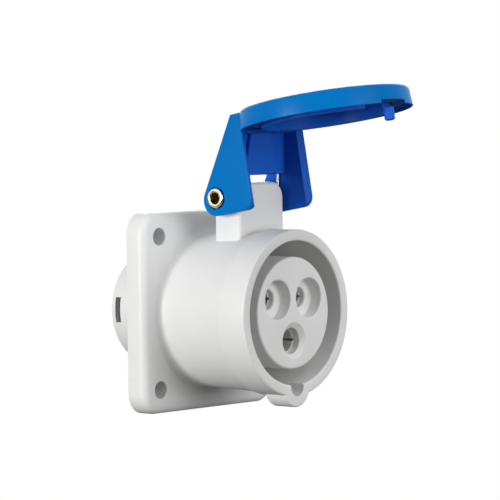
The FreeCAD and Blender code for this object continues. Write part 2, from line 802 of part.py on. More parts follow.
def web_panel(web_front, web_lean):
    """Return the raised panel on the web, narrower towards the lid."""
    base = []
    for half, ahead in ((web_panel_bottom_half, web_bottom), (web_panel_top_half, front_room_top)):
        down = web_front + web_lean * ahead
        base.append((half, down, ahead))
    corners = []
    for side, (half, down, ahead) in ((-1, base[0]), (1, base[0]), (1, base[1]), (-1, base[1])):
        corners.append(neck_point(down - web_wall / 2, ahead) + point(side * half, 0, 0))
    face = Part.Face(Part.makePolygon(corners + corners[:1]))
    return face.extrude(point(0, 0, -(web_wall / 2 + web_panel_raise)))


def swing_open(shape):
    """Turn a piece of the shut lid to the open position."""
    shape.rotate(pin_point, point(1, 0, 0), -lid_open_angle)
    return shape


def lid_gasket_shut():
    """Return the rubber ring between the lid's rim and its sealing ring."""
    outer = rim_inner_radius - gasket_side_clearance
    inner = ring_outer_radius + gasket_side_clearance
    ring = rod(outer, lid_ceiling_y, seal_y).cut(rod(inner, lid_ceiling_y, seal_y))
    return ring.cut(rod(peg_radius + gasket_side_clearance, lid_ceiling_y, seal_y, 0, -peg_circle_radius))


def build_pieces():
    """Return every piece of the socket by its name."""
    pieces = {
        "socket_housing": socket_housing(),
        "flange_gasket": flange_gasket(),
        "contact_carrier": contact_carrier(),
        "carrier_screws": carrier_screws(),
        "terminal_shroud": terminal_shroud(),
        "shroud_screw": shroud_screw(),
        "terminal_screws": terminal_screws(),
        "lid": swing_open(lid_solid_shut()),
        "lid_gasket": swing_open(lid_gasket_shut()),
        "hinge_pin": hinge_pin(),
        "lid_spring": lid_spring(),
    }
    for pole in poles:
        pieces[pole + "_contact"] = contact(pole)
        pieces[pole + "_contact_spring"] = contact_spring(pole)
    return pieces


os.makedirs("parts", exist_ok=True)
for name, shape in build_pieces().items():
    shape.exportStep("parts/" + name + ".step")
    box = shape.BoundBox
    print(name, len(shape.Solids), "solids, valid", shape.isValid(), "volume", round(shape.Volume, 1),
          "y", round(box.YMin, 2), round(box.YMax, 2), "z", round(box.ZMin, 2), round(box.ZMax, 2))
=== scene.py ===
"""Industrial panel socket with a spring lid, dressed over its solid model."""

import bmesh
import bpy
import math
from mathutils import Matrix, Vector


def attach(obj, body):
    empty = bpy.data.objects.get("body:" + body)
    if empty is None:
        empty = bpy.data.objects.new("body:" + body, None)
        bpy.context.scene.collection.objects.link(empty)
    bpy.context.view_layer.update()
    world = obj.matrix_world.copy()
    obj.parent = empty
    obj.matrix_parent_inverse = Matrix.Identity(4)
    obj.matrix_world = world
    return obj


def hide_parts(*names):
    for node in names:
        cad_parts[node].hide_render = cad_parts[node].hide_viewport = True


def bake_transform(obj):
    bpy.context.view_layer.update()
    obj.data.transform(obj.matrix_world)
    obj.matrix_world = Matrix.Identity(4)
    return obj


bl_info = {
    "name": "Panel Socket",
    "version": (1, 0, 0),
    "blender": (4, 5, 0),
    "location": "View3D > Sidebar > Panel Socket",
    "description": "Makes an industrial panel socket with a spring lid, piece by piece",
    "category": "Add Mesh",
}

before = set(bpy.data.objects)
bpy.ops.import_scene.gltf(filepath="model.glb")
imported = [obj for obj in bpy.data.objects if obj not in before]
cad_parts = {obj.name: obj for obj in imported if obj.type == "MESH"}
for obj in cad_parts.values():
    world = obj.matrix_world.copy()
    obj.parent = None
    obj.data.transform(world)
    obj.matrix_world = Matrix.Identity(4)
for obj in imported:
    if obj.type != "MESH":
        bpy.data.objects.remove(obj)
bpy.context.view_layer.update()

MM = 0.001
# How far a shape that cuts or is joined on reaches past a face
MARGIN = 1 * MM

# Sides of round forms, from the collar down to small holes, and steps in a rounded edge or corner
TURN_STEPS = 256
RING_STEPS = 96
HOLE_STEPS = 64
SMALL_STEPS = 48
ROUND_STEPS = 5
CORNER_STEPS = 12
KEYWAY_STEPS = 16
HEAD_STEPS = 8
LEG_HOLE_STEPS = 24
COIL_STEPS = 48
WIRE_SIDES = 16

# Degrees past which an edge stays sharp, and distances within which points become one
SHARP_ANGLE = 32.0
WELD_DISTANCE = 1e-7
FINISHED_WELD_DISTANCE = 2e-6

# Sizes of small or hidden details, which a user would leave alone
GASKET_PLAY = 0.2 * MM
SOFT_EDGE = 0.3 * MM
THIN_EDGE = 0.15 * MM
BAND_FOOT_ROUNDING = 0.8 * MM
BAND_BACK_ROUNDING = 0.6 * MM
SPIGOT_INNER_RADIUS = 14.2 * MM
SPIGOT_OUTER_RADIUS = 15.6 * MM
SPIGOT_HEIGHT = 1.8 * MM
POST_RADIUS = 3.3 * MM
POST_END = 16.4 * MM
POST_HOLE_RADIUS = 1.75 * MM
POST_HOLE_FLOOR = 7.35 * MM
CARRIER_SCREW_HOLE_RADIUS = 1.6 * MM
CARRIER_SCREW_HOLE_DEPTH = 3 * MM
CARRIER_SCREW_SEAT_DEPTH = 1.5 * MM
CARRIER_SCREW_SEAT_RADIUS = 2.6 * MM
CONTACT_SHOULDER_DEPTH = 9.5 * MM
CONTACT_SHOULDER_STEP = 1.0 * MM
CONTACT_ROOM_RADIUS = {"line": 4.45 * MM, "neutral": 4.45 * MM, "earth": 5.45 * MM}
SHROUD_SCREW_SEAT = 16.5 * MM
SHROUD_SCREW_HOLE_RADIUS = 1.9 * MM
SHROUD_SCREW_ROOM_DEPTH = 1.6 * MM
SHROUD_TUBE_WALL = 1.3 * MM
SHROUD_TUBE_WELD = 0.5 * MM
FUNNEL_START = 13.1 * MM
FUNNEL_BORE_START = 12 * MM
WINDOW_BACK_WALL = 2 * MM
SHROUD_FLOOR_ROUNDING = 0.8 * MM
DRIVER_HOLE_START = 5 * MM
WINDOW_START = 0.6 * MM
HEAD_FOOT_ROUNDING = 0.1 * MM
PEG_ROOT = 0.5 * MM
COIL_GAP = 0.05 * MM
BRACKET_GAP = 0.25 * MM
BOSS_GAP = 0.2 * MM
NECK_ROOM_REACH = 50 * MM

# Screw slots, in millimetres as the screws' corners are
SLOT_DEPTH = 0.9
SLOT_HALF_WIDTH = 0.45

# Ways round the socket's axis, in degrees from the right as one faces the socket
POLES = {"line": 150.0, "neutral": 30.0, "earth": 270.0}
CARRIER_SCREW_ANGLES = (90.0, 210.0, 330.0)

# The material of each slot, and the slot of each node of the solid model
FINISH_NAMES = {
    "grey_moulding": "GreyMoulding",
    "carrier_moulding": "CarrierMoulding",
    "blue_moulding": "BlueMoulding",
    "black_rubber": "BlackRubber",
    "grey_rubber": "LidRubber",
    "zinc_steel": "ZincSteel",
    "spring_steel": "SpringSteel",
    "bright_brass": "BrightBrass",
    "plated_contact": "PlatedContact",
}
NODE_SLOTS = {
    "socket_housing": "grey_moulding", "terminal_shroud": "grey_moulding",
    "contact_carrier": "carrier_moulding", "lid": "blue_moulding",
    "flange_gasket": "black_rubber", "lid_gasket": "grey_rubber",
    "carrier_screws": "zinc_steel", "shroud_screw": "zinc_steel", "terminal_screws": "zinc_steel",
    "hinge_pin": "bright_brass", "lid_spring": "spring_steel",
    "line_contact": "plated_contact", "neutral_contact": "plated_contact",
    "earth_contact": "plated_contact",
    "line_contact_spring": "spring_steel", "neutral_contact_spring": "spring_steel",
    "earth_contact_spring": "spring_steel",
}


def length(name, description, default):
    """Return a size that a user may change, given in millimetres and held in metres."""
    return bpy.props.FloatProperty(
        name=name, description=description, default=default * MM, subtype="DISTANCE", unit="LENGTH",
        min=0.0, precision=5)


def offset(name, description, default):
    """Return a distance that a user may change and that may be below zero, given in millimetres."""
    return bpy.props.FloatProperty(
        name=name, description=description, default=default * MM, subtype="DISTANCE", unit="LENGTH")


def set_angle(name, description, default):
    """Return an angle that a user may change, given in degrees."""
    return bpy.props.FloatProperty(
        name=name, description=description, default=math.radians(default), subtype="ANGLE", unit="ROTATION")


def lamp_power(name, description, default):
    """Return the power of a lamp, which a user may change."""
    return bpy.props.FloatProperty(
        name=name, description=description, default=default, min=0.0, subtype="POWER", unit="POWER")


def colour(name, description, default):
    """Return a colour that a user may change, given as it looks on a screen from 0 to 255."""
    linear = []
    for part in default:
        part = part / 255
        linear.append(part / 12.92 if part <= 0.04045 else ((part + 0.055) / 1.055) ** 2.4)
    return bpy.props.FloatVectorProperty(
        name=name, description=description, default=linear, subtype="COLOR", size=3, min=0.0, max=1.0)


class SocketHousing(bpy.types.PropertyGroup):
    """Sizes of the housing."""

    flange_width: length("Flange width", "Side of the square flange", 63.0)
    flange_thickness: length("Flange thickness", "Depth of the flange", 7.0)
    flange_corner_radius: length("Flange corners", "Radius of the flange's corners", 6.5)
    flange_edge_radius: length("Flange edge", "Rounding of the flange's front edge", 2.4)
    flange_rim: length("Flange rim", "Width of the rim around the gasket", 2.4)
    gasket_recess: length("Gasket recess", "Depth of the recess for the gasket", 1.6)
    gasket_island_radius: length("Gasket island", "Radius of the island inside the gasket", 25.6)
    fixing_spacing: length("Fixing spacing", "Distance between the fixing holes", 48.0)
    fixing_hole_radius: length("Fixing hole", "Radius of a fixing hole", 2.75)
    collar_length: length("Collar length", "From the panel to the collar's front", 42.4)
    collar_bore_radius: length("Collar bore", "Inner radius of the collar", 22.5)
    collar_radius: length("Collar radius", "Outer radius of the collar's front band", 26.0)
    collar_edge_radius: length("Collar edge", "Rounding of the collar's front edges", 0.6)
    band_length: length("Band length", "Length of the collar's front band", 10.6)
    barrel_radius: length("Barrel radius", "Radius of the barrel behind the band", 25.3)
    barrel_root_radius: length("Barrel root", "Radius of the barrel at the flange", 24.4)
    barrel_root_fillet: length("Root fillet", "Fillet between barrel and flange", 2.2)
    floor_depth: length("Floor", "From the panel to the front of the floor in the collar", 7.2)
    carrier_hole_radius: length("Carrier hole", "Radius of the hole for the carrier", 17.7)
    carrier_recess_radius: length("Carrier recess", "Radius of the recess for the carrier's flange", 23.0)
    carrier_recess_depth: length("Carrier recess depth", "Depth of that recess", 2.6)
    keyway_half_width: length("Keyway half width", "Half the width of the keyway", 3.1)
    keyway_depth: length("Keyway depth", "Depth of the keyway below the bore", 3.5)
    keyway_length: length("Keyway length", "Length of the keyway from the front", 9.0)
    bump_radius: length("Bump radius", "Radius of the bump round the keyway", 6.3)
    bump_drop: length("Bump drop", "Reach of the bump below the bore", 6.9)
    bump_slope: length("Bump slope", "Length of the slope behind the bump", 3.0)
    bracket_half_width: length("Bracket half width", "Half the width of the hinge bracket", 11.03)
    bracket_front_depth: length("Bracket front", "From the panel to the bracket's front", 28.85)
    bracket_back_depth: length("Bracket back", "From the panel to the bracket's back", 18.6)
    bracket_top: length("Bracket top", "Height of the bracket above the axis", 40.6)
    bracket_corner_radius: length("Bracket corners", "Radius of the bracket's top corners", 5.0)
    bracket_edge_radius: length("Bracket edge", "Rounding of the bracket's top edges", 1.4)


class SocketCarrier(bpy.types.PropertyGroup):
    """Sizes of the contact carrier."""

    face_depth: length("Face", "From the panel to the carrier's face", 41.2)
    face_radius: length("Face radius", "Radius of the carrier's drum", 17.5)
    face_edge_radius: length("Face edge", "Rounding of the carrier's front edge", 0.7)
    flange_radius: length("Flange radius", "Radius of the carrier's flange", 22.8)
    flange_thickness: length("Flange thickness", "Thickness of the carrier's flange", 2.6)
    screw_circle: length("Screw circle", "Radius of the circle of carrier screws", 20.4)
    pole_circle_radius: length("Pole circle", "Radius of the circle of the three poles", 8.75)
    guide_radius: length("Guide radius", "Radius of a live pole's guide", 6.15)
    guide_depth: length("Guide depth", "Depth of a live pole's guide", 4.15)
    guide_rim_radius: length("Guide rim", "Rounding of the guide's mouth", 0.35)
    guide_hole_radius: length("Pin hole", "Radius of a live pole's pin hole", 3.1)
    guide_hole_rim_radius: length("Pin hole rim", "Rounding of the pin hole's mouth", 0.6)
    guide_floor: length("Guide floor", "Thickness of the guide's floor", 2.0)
    earth_hole_radius: length("Earth hole", "Radius of the earth's pin hole", 4.1)
    earth_flare_radius: length("Earth flare", "Radius of the earth hole's mouth", 5.8)
    earth_flare_depth: length("Earth flare depth", "Depth of the earth hole's flare", 1.25)
    earth_floor: length("Earth floor", "Thickness of the wall behind the flare", 2.35)


class SocketShroud(bpy.types.PropertyGroup):
    """Sizes of the terminal shroud."""

    radius: length("Radius", "Outer radius of the shroud", 17.8)
    wall: length("Wall", "Thickness of the shroud's side", 2.0)
    length: length("Length", "From the panel to the shroud's back", 19.5)
    back_wall: length("Back wall", "Thickness of the shroud's back", 1.8)
    edge_radius: length("Edge", "Rounding of the shroud's back edge", 1.2)
    window_width: length("Window width", "Width of a side window", 8.0)
    window_length: length("Window length", "Length of a side window along the shroud", 2.1)
    driver_hole_radius: length("Driver hole", "Radius of a hole for the screwdriver", 3.2)
    driver_hole_depth: length("Driver hole place", "From the panel to a driver hole's middle", 8.0)
    funnel_radius: length("Funnel", "Radius of a wire funnel", 3.6)
    funnel_flare: length("Funnel flare", "Flare at the mouth of a wire funnel", 0.9)
    screw_room_radius: length("Screw room", "Radius of the room for the shroud screw's head", 3.35)


class SocketHinge(bpy.types.PropertyGroup):
    """Sizes of the hinge pin and the spring round it."""

    pin_height: length("Pin height", "Height of the pin above the axis", 35.9)
    pin_depth: length("Pin depth", "From the panel to the pin", 22.9)
    pin_radius: length("Pin radius", "Radius of the hollow pin", 2.25)
    pin_bore_radius: length("Pin bore", "Radius of the hole in the pin", 1.85)
    pin_play: length("Pin play", "Gap between the pin and the bracket", 0.06)
    head_radius: length("Pin head", "Radius of the pin's flared heads", 3.1)
    head_height: length("Head height", "Height of the pin's heads", 0.7)
    groove_width: length("Groove", "Width of the groove in the cheek round a head", 0.45)
    groove_depth: length("Groove depth", "Depth of the groove round a head", 1.1)
    head_rounding: length("Head rounding", "Outer rounding of the heads", 0.55)
    mouth_rounding: length("Mouth rounding", "Rounding of the pin's mouths", 0.35)
    wire_radius: length("Wire radius", "Radius of the spring's wire", 0.45)
    coil_radius: length("Coil radius", "Radius of the coil's centre line", 2.78)
    coil_pitch: length("Coil pitch", "Distance between the coil's turns", 0.95)
    coil_turns: bpy.props.IntProperty(
        name="Coil turns", description="Number of the coil's turns", default=6, min=1)
    coil_start: length("Coil start", "Place of the coil's first turn to the right", 5.9)
    spring_room: length("Spring room", "Free room around the coil in the bracket", 0.5)
    leg_up: length("Upper leg", "Length of the leg on the lid", 12.0)
    leg_down: length("Lower leg", "Length of the leg in the bracket", 7.5)


class SocketLid(bpy.types.PropertyGroup):
    """Sizes of the lid, measured on the shut lid."""

    open_angle: set_angle("Open angle", "Angle by which the lid stands open", 100.0)
    rim_radius: length("Rim radius", "Outer radius of the rim at its edge", 26.9)
    rim_draft: length("Rim draft", "Draft of the rim over its height", 0.5)
    rim_depth: length("Rim place", "From the panel to the rim's edge", 41.45)
    rim_inner_radius: length("Rim inner radius", "Inner radius of the rim", 24.9)
    rim_gap: length("Rim gap", "Gap between the rim and the collar", 0.3)
    lap_radius: length("Lap radius", "Radius of the lap over the collar", 26.3)
    seal_depth: length("Seal place", "From the panel to the seal's face", 42.7)
    ceiling_depth: length("Ceiling place", "From the panel to the lid's inner face", 45.75)
    top_depth: length("Top place", "From the panel to the top of the lid's dome", 48.05)
    edge_radius: length("Edge", "Rounding of the lid's outer edge", 1.3)
    crown: length("Crown", "Height of the lid's dome", 0.5)
    ring_radius: length("Ring radius", "Outer radius of the sealing ring", 20.3)
    ring_wall: length("Ring wall", "Thickness of the sealing ring", 1.4)
    ring_reach: length("Ring reach", "Reach of the sealing ring past the rim", 0.45)
    peg_radius: length("Peg radius", "Radius of the peg", 1.6)
    peg_circle_radius: length("Peg place", "From the lid's axis to the peg", 24.0)
    peg_reach: length("Peg reach", "Reach of the peg past the rim", 4.9)
    peg_tip_radius: length("Peg tip", "Rounding of the peg's tip", 0.65)
    cheek_outer: length("Cheek", "From the middle to a cheek's outer face", 15.3)
    cheek_wall: length("Cheek wall", "Thickness of a cheek", 2.5)
    cheek_front: length("Cheek front", "From the pin to the cheek's front edge", 14.1)
    cheek_bottom: length("Cheek bottom", "Reach of a cheek behind the pin", 5.5)
    cheek_corner_radius: length("Cheek corner", "Radius of a cheek's lower front corner", 3.3)
    cheek_edge_radius: length("Cheek edge", "Rounding of a cheek's outer edges", 0.5)
    knuckle_radius: length("Knuckle", "Radius of a cheek round the pin", 4.9)
    boss_radius: length("Boss", "Radius of the boss round the pin", 4.4)
    neck_lean: set_angle("Neck lean", "Lean of the cheeks' back edge", 33.4)
    neck_top_drop: length("Neck drop", "Step from the disc's dome to the cheeks' end", 0.6)
    neck_top_radius: length("Neck end", "Rounding of the cheeks' end", 0.8)
    front_room_top: length("Front room", "From the pin to the end of the room in front of the web", 18.6)
    web_wall: length("Web wall", "Thickness of the web", 1.5)
    panel_raise: length("Panel", "Height of the raised panel on the web", 1.2)
    panel_bottom_half: length("Panel bottom", "Half the width of the panel at the pin", 7.9)
    panel_top_half: length("Panel top", "Half the width of the panel at the disc", 4.9)


class SocketFinishes(bpy.types.PropertyGroup):
    """Colours of the socket's materials."""

    housing_colour: colour("Housing", "Pale grey moulding of the housing and the shroud", (227, 227, 226))
    carrier_colour: colour("Contact carrier", "Pale grey moulding of the contact carrier", (230, 230, 229))
    lid_colour: colour("Lid", "Blue moulding of the lid", (0, 112, 188))
    # Painted shade: a purpler, slightly darker blue laid on the lid's inner surfaces and the cheeks' front
    # edges, where shade falls
    lid_painted_shade_colour: colour("Inside of the lid", "Blue of the lid's inner surfaces", (30, 97, 204))
    flange_gasket_colour: colour("Flange gasket", "Black rubber of the flange gasket", (34, 34, 35))
    lid_gasket_colour: colour("Lid gasket", "Blue rubber of the lid gasket", (14, 86, 176))
    zinc_colour: colour("Zinc plate", "Plated steel of the screws", (196, 200, 204))
    steel_colour: colour("Spring steel", "Bare steel of the springs", (170, 170, 172))
    brass_colour: colour("Brass", "Bright brass of the hinge pin", (248, 234, 196))
    contact_colour: colour("Contacts", "Dull nickel plate of the contacts", (222, 221, 219))


class SocketStage(bpy.types.PropertyGroup):
    """Camera, light and floor."""

    camera_azimuth: set_angle("Azimuth", "Camera's way round the socket", -50.272)
    camera_elevation: set_angle("Elevation", "Camera's height above the horizon", 2.723)
    camera_roll: set_angle("Roll", "Camera's turn about its own line of sight", -0.622)
    camera_distance: length("Distance", "From the camera to the socket's origin along its sight", 1031.21)
    camera_shift_right: offset("Origin right", "Place of the origin to the right of the sight line", -18.101)
    camera_shift_up: offset("Origin up", "Place of the origin above the sight line", -18.651)
    lens_ratio: bpy.props.FloatProperty(
        name="Lens ratio", description="Focal length divided by the frame's width", default=6.4588, min=0.1)
    floor_height: offset("Floor", "Height of the floor", -140.0)
    key_power: lamp_power("Key lamp", "Power of the lamp on the left", 10.2)
    fill_power: lamp_power("Fill lamp", "Power of the lamp in front", 12.0)
    top_power: lamp_power("Top lamp", "Power of the lamp above", 3.0)
    back_power: lamp_power("Back lamp", "Power of the lamp behind", 7.0)
    world_strength: bpy.props.FloatProperty(
        name="Room light", description="Level of the light from all sides", default=0.28, min=0.0)


def new_shader(name, base, roughness, metallic=0.0):
    """Make a material with a principled shader, and return it with its nodes and object coordinates."""
    material = bpy.data.materials.new(name)
    material.use_nodes = True
    nodes = material.node_tree.nodes
    shader = nodes["Principled BSDF"]
    shader.inputs["Base Color"].default_value = (*base, 1.0)
    shader.inputs["Roughness"].default_value = roughness
    shader.inputs["Metallic"].default_value = metallic
    place = nodes.new("ShaderNodeTexCoord").outputs["Object"]
    return material, shader, place


def noise(material, place, scale, detail=2.0, roughness=0.5, stretch=None):
    """Return the value of a noise over the object, with its scale in waves for each metre."""
    tree = material.node_tree
    node = tree.nodes.new("ShaderNodeTexNoise")
    node.inputs["Scale"].default_value = scale
    node.inputs["Detail"].default_value = detail
    node.inputs["Roughness"].default_value = roughness
    if stretch is not None:
        mapping = tree.nodes.new("ShaderNodeMapping")
        mapping.inputs["Scale"].default_value = stretch
        tree.links.new(place, mapping.inputs["Vector"])
        place = mapping.outputs["Vector"]
    tree.links.new(place, node.inputs["Vector"])
    return node.outputs["Fac"]


def spread(material, value, low, high, from_low=0.3, from_high=0.7):
    """Return a value moved from one range to another."""
    tree = material.node_tree
    node = tree.nodes.new("ShaderNodeMapRange")
    node.inputs["From Min"].default_value = from_low
    node.inputs["From Max"].default_value = from_high
    node.inputs["To Min"].default_value = low
    node.inputs["To Max"].default_value = high
    tree.links.new(value, node.inputs["Value"])
    return node.outputs["Result"]


def maths(tree, operation, first, second=None):
    """Return what a Math node gives, where each side is a number, an output or nothing."""
    node = tree.nodes.new("ShaderNodeMath")
    node.operation = operation
    for socket, value in zip(node.inputs, (first, second)):
        if isinstance(value, (int, float)):
            socket.default_value = value
        elif value is not None:
            tree.links.new(value, socket)
    return node.outputs["Value"]


def mixed_colour(tree, share, first, second):
    """Return a mix of two colours, where each is a colour or an output."""
    node = tree.nodes.new("ShaderNodeMix")
    node.data_type = "RGBA"
    tree.links.new(share, node.inputs["Factor"])
    for label, value in (("A", first), ("B", second)):
        if isinstance(value, tuple):
            node.inputs[label].default_value = (*value, 1.0)
        else:
            tree.links.new(value, node.inputs[label])
    return node.outputs["Result"]


def tint(material, shader, value, base, darkest, lightest):
    """Vary the base colour with a value between a darker and a lighter shade of it."""
    tree = material.node_tree
    ramp = tree.nodes.new("ShaderNodeValToRGB")
    ramp.color_ramp.elements[0].position = 0.3
    ramp.color_ramp.elements[1].position = 0.7
    ramp.color_ramp.elements[0].color = (*[min(1.0, part * darkest) for part in base], 1.0)
    ramp.color_ramp.elements[1].color = (*[min(1.0, part * lightest) for part in base], 1.0)
    tree.links.new(value, ramp.inputs["Fac"])
    tree.links.new(ramp.outputs["Color"], shader.inputs["Base Color"])


def relief(material, shader, heights):
    """Add small relief to the surface, from (value, height in metres) pairs."""
    tree = material.node_tree
    normal = None
    for value, height in heights:
        bump = tree.nodes.new("ShaderNodeBump")
        bump.inputs["Strength"].default_value = 1.0
        bump.inputs["Distance"].default_value = height
        tree.links.new(value, bump.inputs["Height"])
        if normal is not None:
            tree.links.new(normal, bump.inputs["Normal"])
        normal = bump.outputs["Normal"]
    tree.links.new(normal, shader.inputs["Normal"])


def moulded_plastic(name, base, roughness, grain, specular=0.5):
    """Make a moulded plastic with a faint flow in its colour, a fine grain and a soft waviness."""
    material, shader, place = new_shader(name, base, roughness)
    shader.inputs["Specular IOR Level"].default_value = specular
    tree = material.node_tree
    flow = noise(material, place, scale=45.0, detail=3.0)
    tint(material, shader, flow, base, darkest=0.965, lightest=1.02)
    fine = noise(material, place, scale=3200.0, detail=2.0)
    waves = noise(material, place, scale=120.0, detail=1.0)
    tree.links.new(spread(material, waves, low=roughness * 0.88, high=roughness * 1.12),
                   shader.inputs["Roughness"])
    wave_height = 0.04 * MM
    relief(material, shader, [(waves, wave_height), (fine, grain)])
    return material


def rubber(name, base):
    """Make a matt rubber with a dusty bloom and a fine pebble."""
    material, shader, place = new_shader(name, base, 0.72)
    shader.inputs["Specular IOR Level"].default_value = 0.35
    tree = material.node_tree
    bloom = noise(material, place, scale=160.0, detail=5.0)
    tint(material, shader, bloom, base, darkest=0.8, lightest=1.35)
    tree.links.new(spread(material, bloom, low=0.62, high=0.82), shader.inputs["Roughness"])
    pebble_height = 0.03 * MM
    relief(material, shader, [(noise(material, place, scale=2600.0, detail=3.0), pebble_height)])
    return material


def bright_metal(name, base, roughness, drawn, stretch, metallic=1.0):
    """Make a metal with fine drawing or turning lines, faint stains and small dents."""
    material, shader, place = new_shader(name, base, roughness, metallic)
    tree = material.node_tree
    stain = noise(material, place, scale=300.0, detail=4.0)
    tint(material, shader, stain, base, darkest=0.86, lightest=1.08)
    lines = noise(material, place, scale=drawn, detail=2.0, stretch=stretch)
    tree.links.new(spread(material, lines, low=roughness * 0.7, high=roughness * 1.4),
                   shader.inputs["Roughness"])
    dent_depth, line_depth = 0.006 * MM, 0.004 * MM
    relief(material, shader, [(stain, dent_depth), (lines, line_depth)])
    return material


def rounded(corners, closed=True, steps=ROUND_STEPS):
    """Return points of an outline through (u, v, radius) corners, with an arc at each rounded one."""
    points = []
    last = len(corners) - 1
    for index, (u, v, radius) in enumerate(corners):
        corner = Vector((u, v))
        if radius <= 0 or (not closed and index in (0, last)):
            points.append(corner)
            continue
        before = (Vector(corners[index - 1][:2]) - corner).normalized()
        after = (Vector(corners[(index + 1) % len(corners)][:2]) - corner).normalized()
        half_angle = before.angle(after) / 2
        centre = corner + (before + after).normalized() * (radius / math.sin(half_angle))
        first = corner + before * (radius / math.tan(half_angle)) - centre
        final = corner + after * (radius / math.tan(half_angle)) - centre
        turn = math.atan2(first.x * final.y - first.y * final.x, first.dot(final))
        for step in range(steps + 1):
            points.append(centre + Matrix.Rotation(turn * step / steps, 2) @ first)
    return points


def quarter(edge):
    """Return (inwards, along) distances on the quarter circle that rounds an edge, in even steps."""
    places = []
    for step in range(ROUND_STEPS + 1):
        angle = math.pi / 2 * step / ROUND_STEPS
        places.append((edge * (1 - math.sin(angle)), edge * (1 - math.cos(angle))))
    return places


def circle(radius, steps, centre=(0.0, 0.0)):
    """Return points of a circle."""
    points = []
    for step in range(steps):
        angle = math.tau * step / steps
        points.append(Vector((centre[0] + radius * math.cos(angle), centre[1] + radius * math.sin(angle))))
    return points


def on_circle(radius, degrees):
    """Return x and z of a place on a circle about the socket's axis, seen from the front."""
    angle = math.radians(degrees)
    return radius * math.cos(angle), radius * math.sin(angle)


def loft(rings, closed=False):
    """Return a mesh that joins rings of points in order, with its two ends capped or joined."""
    shell = bmesh.new()
    made = [[shell.verts.new(place) for place in ring] for ring in rings]
    pairs = list(zip(made, made[1:]))
    if closed:
        pairs.append((made[-1], made[0]))
    for first, second in pairs:
        join_rings(shell, first, second)
    if not closed:
        for ring in (made[0], made[-1]):
            if len(ring) > 2:
                shell.faces.new(ring)
    return shell


def join_rings(shell, first, second):
    """Join two rings with faces, where either ring may be a single point."""
    count = max(len(first), len(second))
    for step in range(count):
        following = (step + 1) % count
        if len(first) == 1:
            shell.faces.new((first[0], second[step], second[following]))
        elif len(second) == 1:
            shell.faces.new((first[step], first[following], second[0]))
        else:
            shell.faces.new((first[step], first[following], second[following], second[step]))


def lathe(profile, steps, centre=(0.0, 0.0), closed=False):
    """Turn a profile of (radius, y) points about a line along Y through (x, z)."""
    rings = []
    for radius, y in profile:
        if radius < WELD_DISTANCE:
            rings.append([(centre[0], y, centre[1])])
        else:
            rings.append([(place.x, y, place.y) for place in circle(radius, steps, centre)])
    return loft(rings, closed)


def rod(radius, y_from, y_to, x=0.0, z=0.0, steps=HOLE_STEPS):
    """Return a cylinder that runs along Y between two depths."""
    return lathe([(radius, y_from), (radius, y_to)], steps, (x, z))


def prism(outline, x_from, x_to, place):
    """Push an outline along X, where place(x, u, v) gives the point of each corner."""
    return loft([[place(x, u, v) for u, v in outline] for x in (x_from, x_to)])


def block(x_range, y_range, z_range):
    """Return a box between three pairs of limits."""
    corners = [(y_range[0], z_range[0]), (y_range[1], z_range[0]), (y_range[1], z_range[1]),
               (y_range[0], z_range[1])]
    return prism(corners, x_range[0], x_range[1], lambda x, u, v: (x, u, v))


def solid(shell, name="Solid"):
    """Turn a made shell into an object with its faces outwards."""
    bmesh.ops.remove_doubles(shell, verts=shell.verts, dist=WELD_DISTANCE)
    bmesh.ops.recalc_face_normals(shell, faces=shell.faces)
    mesh = bpy.data.meshes.new(name)
    shell.to_mesh(mesh)
    shell.free()
    made = bpy.data.objects.new(name, mesh)
    bpy.context.collection.objects.link(made)
    return made


def combine(base, shells, operation):
    """Join shells to a solid or cut them from it."""
    tools = [solid(shell, "Tool") for shell in shells]
    for tool in tools:
        modifier = base.modifiers.new("Combine", "BOOLEAN")
        modifier.operation = operation
        modifier.solver = "MANIFOLD"
        modifier.object = tool
    apply_modifiers(base)
    for tool in tools:
        mesh = tool.data
        bpy.data.objects.remove(tool)
        bpy.data.meshes.remove(mesh)


def apply_modifiers(made):
    """Turn what an object's modifiers give into its plain mesh."""
    depsgraph = bpy.context.evaluated_depsgraph_get()
    mesh = bpy.data.meshes.new_from_object(made.evaluated_get(depsgraph))
    made.modifiers.clear()
    made.data = mesh


def smooth(mesh, sharp_angle=SHARP_ANGLE):
    """Shade a mesh smooth, apart from edges that turn by more than an angle."""
    mesh.shade_smooth()
    mesh.set_sharp_from_angle(angle=math.radians(sharp_angle))


def finish_piece(made, name, finish, body, *nodes):
    """Smooth a piece, give it its finish, let it ride on a body and stand for solids of the model."""
    mesh = made.data
    shell = bmesh.new()
    shell.from_mesh(mesh)
    bmesh.ops.remove_doubles(shell, verts=shell.verts, dist=FINISHED_WELD_DISTANCE)
    bmesh.ops.dissolve_degenerate(shell, edges=shell.edges, dist=WELD_DISTANCE)
    bmesh.ops.recalc_face_normals(shell, faces=shell.faces)
    shell.to_mesh(mesh)
    shell.free()
    smooth(mesh)
    mesh.materials.clear()
    mesh.materials.append(bpy.data.materials[FINISH_NAMES[finish]])
    made.name = mesh.name = name
    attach(made, body)
    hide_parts(*nodes)


def lid_moulding(context, colours):
    """Make the lid's blue plastic, with painted shade in a purpler blue on its inner surfaces."""
    material = moulded_plastic("BlueMoulding", colours.lid_colour, roughness=0.32, grain=0.000006,
                               specular=0.05)
    tree = material.node_tree
    shader = tree.nodes["Principled BSDF"]
    place = tree.nodes.new("ShaderNodeTexCoord").outputs["Object"]
    outer = shader.inputs["Base Color"].links[0].from_socket
    # inner below holds the painted shade colour, which the shade mask lays under the disc and between the
    # cheeks
    flow = noise(material, place, scale=70.0, detail=3.0)
    tint(material, shader, flow, colours.lid_painted_shade_colour, darkest=0.95, lightest=1.03)
    inner = shader.inputs["Base Color"].links[0].from_socket
    both = mixed_colour(tree, lid_painted_shade_mask(context, material, place), outer, inner)
    tree.links.new(both, shader.inputs["Base Color"])
    return material


